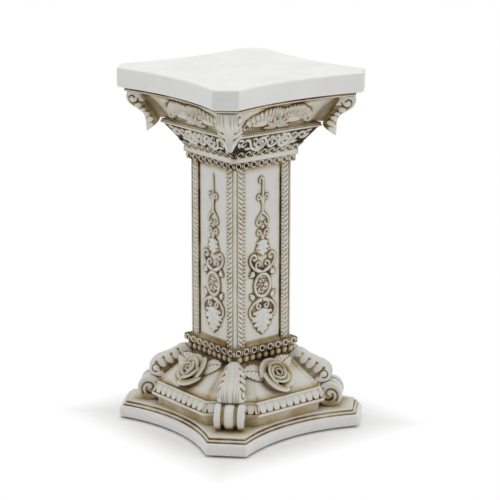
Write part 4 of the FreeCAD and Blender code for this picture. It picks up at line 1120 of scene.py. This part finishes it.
def make_base_leaves():
    """Acanthus leaves on the slope's corners, bent over the ridge, with a curled foot above the scroll."""
    leaf = wrapped_leaf(
        outer=[(35.5, 48.0), (39.5, 46.8), (44.0, 43.6), (49.5, 41.0), (54.0, 39.0), (57.2, 36.2),
               (58.4, 32.2), (57.0, 28.6), (54.0, 27.6)],
        inner=[(30.0, 43.0), (32.0, 39.0), (35.0, 35.0), (39.0, 31.5), (43.5, 28.6), (47.0, 27.6),
               (49.0, 27.4), (50.0, 27.4), (51.0, 27.4)],
        widths=(3.2, 6.4, 8.3, 9.0, 9.2, 9.0, 8.7, 8.2, 7.4),
        lobes=6.6, lean=0.2, lobed=(0.05, 0.68), fluted=(0.9, 0.16), carve=2.7, edge=0.6,
        shoulders=(0.26, 0.36), hollow=2.4, eye=(53.4, 32.4),
        groove=dict(way=-1, start_angle=215.0, start_reach=3.3, pitch=1.6, turns=1.0, breadth=0.52))
    finish_four(leaf, "carved_base_leaf", "base_corner_leaf")


def petal(piece, reach, height, start, sweep, flare, thickness, sink=0.3):
    """Cupped petal on the slope, thick and with a rounded lip.

    One angle runs round its section, up the outside from foot to lip and down the inside. The other is the
    way round the flower, along which the lip sinks to both ends, and one end lies further out so that petals
    overlap.
    """
    along = np.linspace(-1, 1, 27)[None]
    off = np.abs(along)
    section = np.linspace(0, 2 * np.pi, 28, endpoint=False)[:, None]
    up = 0.5 - 0.5 * np.cos(section)
    top = height * (1 - sink * off ** 2.6)
    out = reach * (0.4 + 0.5 * up ** 0.75 + flare * up ** 3)
    out = out * (1 + 0.13 * along) * (1 - 0.14 * up * off ** 4)
    rise = top * np.sin(np.pi / 2 * up) ** 0.9 - flare * height * 0.9 * up ** 4
    slope = np.arctan2(height * (1.1 - 0.9 * up - 2.2 * flare * up ** 3),
                       reach * (0.45 + 2.4 * flare * up ** 2))
    wall = thickness * np.sin(section) * (0.55 + 0.45 * up) * np.sqrt(np.clip(1 - off ** 6, 0, 1))
    out = out + wall * np.sin(slope)
    rise = rise - wall * np.cos(slope)
    angle = np.radians(start) + along * np.radians(sweep) / 2
    stain_and_shade = np.where(np.sin(section) < -0.02, 0.03 + 1.2 * (1 - up) ** 0.85, 0.03 + 0.8 * (1 - up) ** 1.6)
    stain_and_shade = stain_and_shade + 0.5 * blend(off, 0.93, 1.0)
    skin = on_slope(ROSE_ALONG + out * np.cos(angle), ROSE_UP + 1.08 * out * np.sin(angle), rise - 0.2)
    return piece.add(skin, stain_and_shade, wrap=(True, False), solid=True)


def make_roses():
    """Roses on the slopes: whorls of cupped petals about a tight bud, more open on one pair of sides.

    A whorl is a reach, a height, a count of petals, a first angle, a sweep, a flare and the lip's sinking.
    """
    open_rose = ((10.3, 5.4, 4, 25, 122, 0.22, 0.5), (7.5, 7.0, 3, 80, 150, 0.14, 0.35),
                 (4.9, 7.7, 2, 10, 205, 0.08, 0.3))
    fuller_rose = ((10.3, 5.9, 3, 100, 156, 0.2, 0.45), (7.3, 7.1, 3, 50, 150, 0.1, 0.3),
                   (4.9, 7.6, 2, 110, 210, 0.06, 0.25))
    for k in QUARTERS:
        rose = Piece()
        for reach, height, count, start, sweep, flare, sink in (open_rose, fuller_rose)[k % 2]:
            for i in range(count):
                petal(rose, reach, height, start + 360 * i / count, sweep, flare, thickness=1.0, sink=sink)
        for start, reach in ((20, 2.7), (190, 1.7)):
            petal(rose, reach, height=7.3, start=start, sweep=240, flare=0.0, thickness=0.6)
        rose.turned(k).finish(f"carved_rose_{k + 1}", [f"rose_{k + 1}"])


def slope_leaf(piece, angle, near, far, width):
    """Leaf on the slope, out from the rose: a swelling outline with saw teeth, a midrib and slanting veins.

    The half width is a sine made fuller by powers, the arch a parabola across, and the tip curls up.
    """
    teeth_along = 6
    curl = 0.8
    sink = 0.3
    along = np.linspace(0, 1, 60)[:, None]
    side = np.linspace(-1, 1, 41)[None]
    teeth = 1 + 0.2 * ((along * teeth_along + 0.15) % 1 - 0.5)
    edge = width * np.sin(np.pi * np.clip(along, 0, 1) ** 0.7) ** 0.6 * teeth + 0.02
    slant = along * teeth_along - 1.3 * np.abs(side)
    vein = np.exp(-((slant % 1 - 0.5) / 0.12) ** 2)
    rib = np.exp(-(side * edge / 0.4) ** 2)
    arch = 0.9 + 1.5 * (1 - side ** 2) * np.sin(np.pi * np.clip(along * 0.9 + 0.1, 0, 1))
    out = arch - 0.35 * vein * (1 - side ** 4) - 0.6 * rib + curl * along ** 2.5
    way = np.radians(angle)
    reach = near + (far - near) * along + 0 * side
    aside = side * edge + 1.4 * np.sin(np.pi * along) * (1 if angle < 90 else -1)
    x = reach * np.cos(way) - aside * np.sin(way)
    y = reach * np.sin(way) + aside * np.cos(way)
    front = on_slope(ROSE_ALONG + x, ROSE_UP + y, out)
    stain_and_shade = 0.06 + 0.3 * vein * (1 - side ** 4) + 0.4 * rib
    stain_and_shade = stain_and_shade + 0.45 * blend(np.abs(side), 0.9, 1.0) + 0.45 * blend(along, 0.4, 0.1)
    base = on_slope(0.0, 0.0, 0.0)
    normal = on_slope(0.0, 0.0, 1.0) - base
    return piece.closed(front, stain_and_shade,
                        lambda rim: rim - ((rim - base) @ normal + sink)[:, None] * normal, normal)


def make_rose_leaves():
    """Two veined leaves that come out from under each rose."""
    leaves = Piece()
    slope_leaf(leaves, angle=32.0, near=7.0, far=22.0, width=5.6)
    slope_leaf(leaves, angle=158.0, near=7.0, far=22.5, width=6.0)
    finish_four(leaves, "carved_rose_leaves", "rose_leaves")


# Capital

def carve_frieze(side):
    """Foliage on the frieze: a wound scroll either side of the middle, its tail, a hook and sprigs."""
    scroll_eye = (9.6, 184.9)
    for path, width in (
        (spiral(scroll_eye, (4.3, 1.0), (215, 215 - 560)), (0.95, 0.65)),
        (smooth_path([(6.0, 182.2), (7.8, 180.9), (11.4, 180.8), (14.8, 182.3), (16.8, 185.0), (18.8, 187.5),
                      (21.5, 188.4), (23.6, 187.0), (23.3, 184.9), (21.6, 184.4),
                      (20.7, 185.6)]), (1.0, 0.65)),
        (smooth_path([(0.0, 181.3), (2.2, 182.3), (3.8, 184.7), (3.9, 187.1), (2.4, 188.5), (0.9, 187.8),
                      (1.1, 186.3), (2.1, 186.0)]), (0.9, 0.6)),
        (smooth_path([(13.4, 187.9), (15.2, 188.8), (16.6, 188.2)]), (0.55, 0.4)),
    ):
        side.stroke(path, width, height=1.5)
    for foot, tip, width in (((15.2, 181.6), (20.6, 182.4), 1.0), ((23.6, 188.2), (28.6, 189.2), 0.9),
                             ((23.8, 183.6), (27.4, 187.2), 1.2), ((4.8, 188.9), (8.2, 189.4), 0.7),
                             ((12.9, 183.4), (15.2, 186.6), 0.9)):
        side.leaf(foot, tip, width, height=1.3, veins=0.4)
    side.dome((0, 184.0), radii=(1.0, 1.3), height=1.4)
    side.dome(scroll_eye, radii=0.75, height=1.5)


def carve_fans(side):
    """Pair of feathered wings on the bell, a curl at each end and a blossom with ribbon leaves between.

    A wing is a low swelling, along whose arched upper edge stand feathers that swell towards their tips.
    """
    side.dome((12.6, 200.4), radii=(12.4, 5.4), height=0.8)
    for share in np.linspace(0, 1, 10):
        arch = 1.5 * math.sin(math.pi * min(1.3 * share, 1.0)) - 6.0 * share ** 3.2
        tip = (1.6 + 22.6 * share, 206.2 + arch)
        foot = (tip[0] - 0.4 - 3.2 * share, tip[1] - 6.2 + 1.6 * share)
        bow = (0.5 * foot[0] + 0.5 * tip[0] - 0.7, 0.42 * foot[1] + 0.58 * tip[1])
        side.stroke(smooth_path([foot, bow, tip], per=8), width=(0.4, 0.85, 1.12), height=1.5)
    for share in np.linspace(0, 1, 7):
        level = 199.3 + 1.3 * math.sin(math.pi * share) - 1.2 * share
        side.dome((6.0 + 12.0 * share, level), radii=(0.75, 0.9), height=1.5)
    curl = [(20.6, 197.6), (23.2, 198.8), (25.0, 197.6), (24.6, 195.6), (22.8, 195.2), (22.2, 196.4)]
    side.stroke(smooth_path(curl), width=(0.85, 0.55), height=1.4)
    for foot, tip, width, height in (((0.8, 194.2), (10.2, 194.4), 1.3, 2.0),
                                     ((0.6, 194.6), (8.2, 197.8), 1.6, 2.4),
                                     ((0.3, 195.0), (4.4, 201.2), 1.6, 2.7)):
        side.leaf(foot, tip, width, height, veins=0.4)
    side.leaf((0.0, 194.6), (0.0, 201.6), width=1.5, height=3.0, veins=0.4, mirrored=False)


def make_capital_sides():
    """Four sides of the capital, each a wedge from near the axis: carved frieze, ledge and carved bell.

    The bell flares as a straight line less a parabola.
    """
    bell_foot_half = 33.0
    bell_flare = 13.5
    bell_hollow = 2.0
    t = np.linspace(0, 1, 76)
    bell = np.stack([bell_foot_half + bell_flare * t - bell_hollow * 4 * t * (1 - t),
                     LEDGE_TOP + (BELL_TOP - LEDGE_TOP) * t, 0 * t], -1)
    low = finely([(24.0, NECK_TOP, 0.95), (27.1, RING_TOP, 0.95), (34.0, FRIEZE_TOP, 0.88)], step=0.24)
    ledge = finely([(34.0, FRIEZE_TOP, 0.7), (34.4, FRIEZE_TOP + 0.02, 0.5), (34.4, LEDGE_TOP - 0.02, 0.4),
                    (bell_foot_half, LEDGE_TOP, 0.6)], step=0.5)
    profile = np.vstack([low, ledge[1:-1], bell])
    share = np.linspace(-1, 1, 300)[None]
    u = share * profile[:, :1]
    v = np.broadcast_to(profile[:, 1:2], u.shape)
    side = Carving(u, v)
    carve_frieze(side)
    carve_fans(side)
    side.height[(v > FRIEZE_TOP - 0.1) & (v < LEDGE_TOP + 0.1)] = 0
    on_bell = blend(v, LEDGE_TOP, LEDGE_TOP + 0.3)
    stain_and_shade = profile[:, 2:3] * (1 - 0.93 * blend(side.height, 0.1, 0.7))
    darkening = side.stain_and_shade(0.3, halo=1.5, depth=0.95) + 0.1
    # Darker under the plate at the bell's top, painted shade; towards the corner scrolls, patina and painted
    # shade; and towards the ledge.
    darkening += (0.55 * blend(v, 206.5, 210.3) + 0.4 * blend(v, 195.0, 192.8)
              + 0.3 * blend(np.abs(share), 0.78, 0.92))
    stain_and_shade = stain_and_shade + (darkening - stain_and_shade) * on_bell
    stain_and_shade = stain_and_shade + 0.35 * np.clip(blurred(side.height, 1.6) - side.height, 0, 1) * (1 - on_bell)
    front = side_points(profile, side.height, share)
    wedge = Piece().closed(front, stain_and_shade, lambda rim: rim * [0.1, 0.1, 1], (0, -1, 0))
    for k in QUARTERS:
        nodes = [f"frieze_scrolls_{k + 1}", f"capital_fan_{k + 1}"] + (["capital_bell"] if k == 0 else [])
        wedge.turned(k).finish(f"carved_capital_side_{k + 1}", nodes)


def make_capital_scrolls():
    """Scrolls under the top's corners: a fluted strap with a wound head, lobed sides and a free tail.

    A narrow web behind it ties it to the bell.
    """
    web_half = 1.7
    web_overlap = 1.6
    inner = [(61.5, 210.2), (60.2, 206.6), (57.8, 203.2), (55.8, 199.8), (53.2, 196.6), (51.0, 193.4),
             (51.4, 190.4), (54.6, 187.4), (58.2, 184.7)]
    scroll = wrapped_leaf(
        outer=[(70.2, 209.6), (70.8, 205.8), (69.0, 202.2), (65.2, 199.8), (61.8, 197.6), (59.8, 194.8),
               (59.0, 191.6), (58.9, 188.2), (58.6, 184.6)],
        inner=inner,
        widths=(7.9, 8.2, 8.2, 8.1, 8.0, 7.7, 5.8, 3.1, 1.7),
        lobes=6.6, lean=-1.5, lobed=(0.17, 0.86), fluted=(0.08, 0.2), carve=2.0, edge=0.72,
        shoulders=(0.46, 0.16), hollow=1.7, eye=(66.0, 205.9),
        groove=dict(way=1, start_angle=160.0, start_reach=3.7, pitch=2.3, turns=1.05, breadth=0.6))
    front = smooth_path(inner[:6], per=6) + [web_overlap, 0.0]
    deep = smooth_path([(57.0, 210.2), (53.0, 206.6), (49.0, 203.0), (46.0, 199.8), (43.5, 196.6),
                        (42.5, 193.4)], per=6)
    edges = ((front, web_half), (deep, web_half), (deep, -web_half), (front, -web_half))
    web = closed_at_middles(np.stack([on_corner(path[:, 0], side, path[:, 1]) for path, side in edges], 1))
    # The web is browned: patina and painted shade behind the strap.
    scroll.add(web, 0.38, wrap=(False, True), solid=True)
    finish_four(scroll, "carved_capital_scroll", "capital_corner_scroll")


# The whole stand

make_plinth()
make_base_block()
make_leaf_band()
make_base_scrolls()
make_base_leaves()
make_roses()
make_rose_leaves()
make_beads()
make_collars()
make_ring_band("carved_base_rings", "base_ring_band",
               foot=(25.0, COLLAR_FOOT), top=(25.0, COLLAR_TOP), inner=24.0)
make_panels()
make_corner_ropes()
make_ring_band("carved_neck_rings", "neck_ring_band",
               foot=(23.6, SHAFT_TOP), top=(23.6, NECK_BAND_FOOT), inner=22.6)
make_ring_band("carved_capital_rings", "capital_ring_band",
               foot=(24.4, NECK_TOP), top=(27.5, RING_TOP), inner=22.6)
make_capital_sides()
make_ledge_rope()
make_capital_scrolls()
make_plate()
make_top()
for name, material in (("shaft", AGED), ("felt_pads", FELT)):
    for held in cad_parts[name].material_slots:
        held.material = material


# Stage

def make_floor():
    """Pale floor that keeps the stand's shadow near the foot and goes over to plain white further out.

    The share of white grows with the larger of a place's two distances from the middle, so it follows the
    foot's square.
    """
    floor_half = 4.0
    shadow_reach = 0.0605
    white_reach = 0.086
    material = bpy.data.materials.new("pale_floor")
    node, join = emptied(material)
    out = node("ShaderNodeOutputMaterial")
    matt = node("ShaderNodeBsdfDiffuse", Color=(0.92, 0.92, 0.92, 1))
    white = node("ShaderNodeEmission", Color=(1, 1, 1, 1), Strength=1.0)
    seen = node("ShaderNodeLightPath")
    place = node("ShaderNodeTexCoord")
    fold = node("ShaderNodeVectorMath", operation="ABSOLUTE")
    parts = node("ShaderNodeSeparateXYZ")
    away = node("ShaderNodeMath", operation="MAXIMUM")
    lift = stretch(node, (shadow_reach, white_reach), (0.0, 1.0))
    both = node("ShaderNodeMath", operation="MULTIPLY")
    mix = node("ShaderNodeMixShader")
    join(place.outputs["Object"], fold.inputs[0])
    join(fold.outputs["Vector"], parts.inputs["Vector"])
    join(parts.outputs["X"], away.inputs[0])
    join(parts.outputs["Y"], away.inputs[1])
    join(away.outputs["Value"], lift.inputs["Value"])
    join(lift.outputs["Result"], both.inputs[0])
    join(seen.outputs["Is Camera Ray"], both.inputs[1])
    join(both.outputs[0], mix.inputs["Fac"])
    join(matt.outputs["BSDF"], mix.inputs[1])
    join(white.outputs["Emission"], mix.inputs[2])
    join(mix.outputs["Shader"], out.inputs["Surface"])
    corners = [(x * floor_half, y * floor_half, 0.0) for x, y in ((-1, -1), (1, -1), (1, 1), (-1, 1))]
    mesh = bpy.data.meshes.new("floor")
    mesh.from_pydata(corners, [], [(0, 1, 2, 3)])
    mesh.materials.append(material)
    floor = bpy.data.objects.new("floor", mesh)
    bpy.context.scene.collection.objects.link(floor)


def make_lamp(name, place, aim, width, power):
    """Square soft box at a place, facing an aim."""
    data = bpy.data.lights.new(name, "AREA")
    data.shape = "SQUARE"
    data.size = width
    data.energy = power
    lamp = bpy.data.objects.new(name, data)
    turn_to = (Vector(aim) - Vector(place)).to_track_quat("-Z", "Y")
    lamp.matrix_world = Matrix.Translation(Vector(place)) @ turn_to.to_matrix().to_4x4()
    bpy.context.scene.collection.objects.link(lamp)


def make_world(fill):
    """White surround: full white to the camera, and a gentle fill for everything else."""
    world = bpy.data.worlds.new("white_surround")
    node, join = emptied(world)
    out = node("ShaderNodeOutputWorld")
    light = node("ShaderNodeBackground", Color=(1, 1, 1, 1))
    seen = node("ShaderNodeLightPath")
    strength = stretch(node, (0.0, 1.0), (fill, 1.0))
    join(seen.outputs["Is Camera Ray"], strength.inputs["Value"])
    join(strength.outputs["Result"], light.inputs["Strength"])
    join(light.outputs["Background"], out.inputs["Surface"])
    bpy.context.scene.world = world


def make_camera(azimuth, elevation, distance, lens, shift):
    """Camera that looks at the stand's middle from an azimuth and elevation in degrees."""
    aim = Vector((0, 0, SLAB_TOP / 2 * METRES_PER_MM))
    side, rise = math.radians(azimuth), math.radians(elevation)
    back = Vector((math.sin(side) * math.cos(rise), -math.cos(side) * math.cos(rise), math.sin(rise)))
    data = bpy.data.cameras.new("camera")
    data.lens = lens
    data.sensor_width = 36.0
    data.shift_x, data.shift_y = shift
    data.clip_start = 0.01
    camera = bpy.data.objects.new("camera", data)
    place = Matrix.Translation(aim + back * distance)
    camera.matrix_world = place @ (-back).to_track_quat("-Z", "Y").to_matrix().to_4x4()
    bpy.context.scene.collection.objects.link(camera)
    bpy.context.scene.camera = camera


make_floor()
make_world(fill=0.48)
make_lamp("overhead", (-0.1, 0.1, 1.5), aim=(0, 0, 0.1), width=1.2, power=11.3)
make_lamp("right", (1.3, 1.2, 0.6), aim=(0, 0, 0.12), width=0.9, power=5.5)
make_lamp("left", (-1.2, -1.4, 0.6), aim=(0, 0, 0.12), width=0.9, power=5.0)
make_camera(azimuth=51.72, elevation=14.94, distance=1.2641, lens=145.74, shift=(0.01836, -0.00846))
bpy.context.scene.view_settings.view_transform = "Standard"
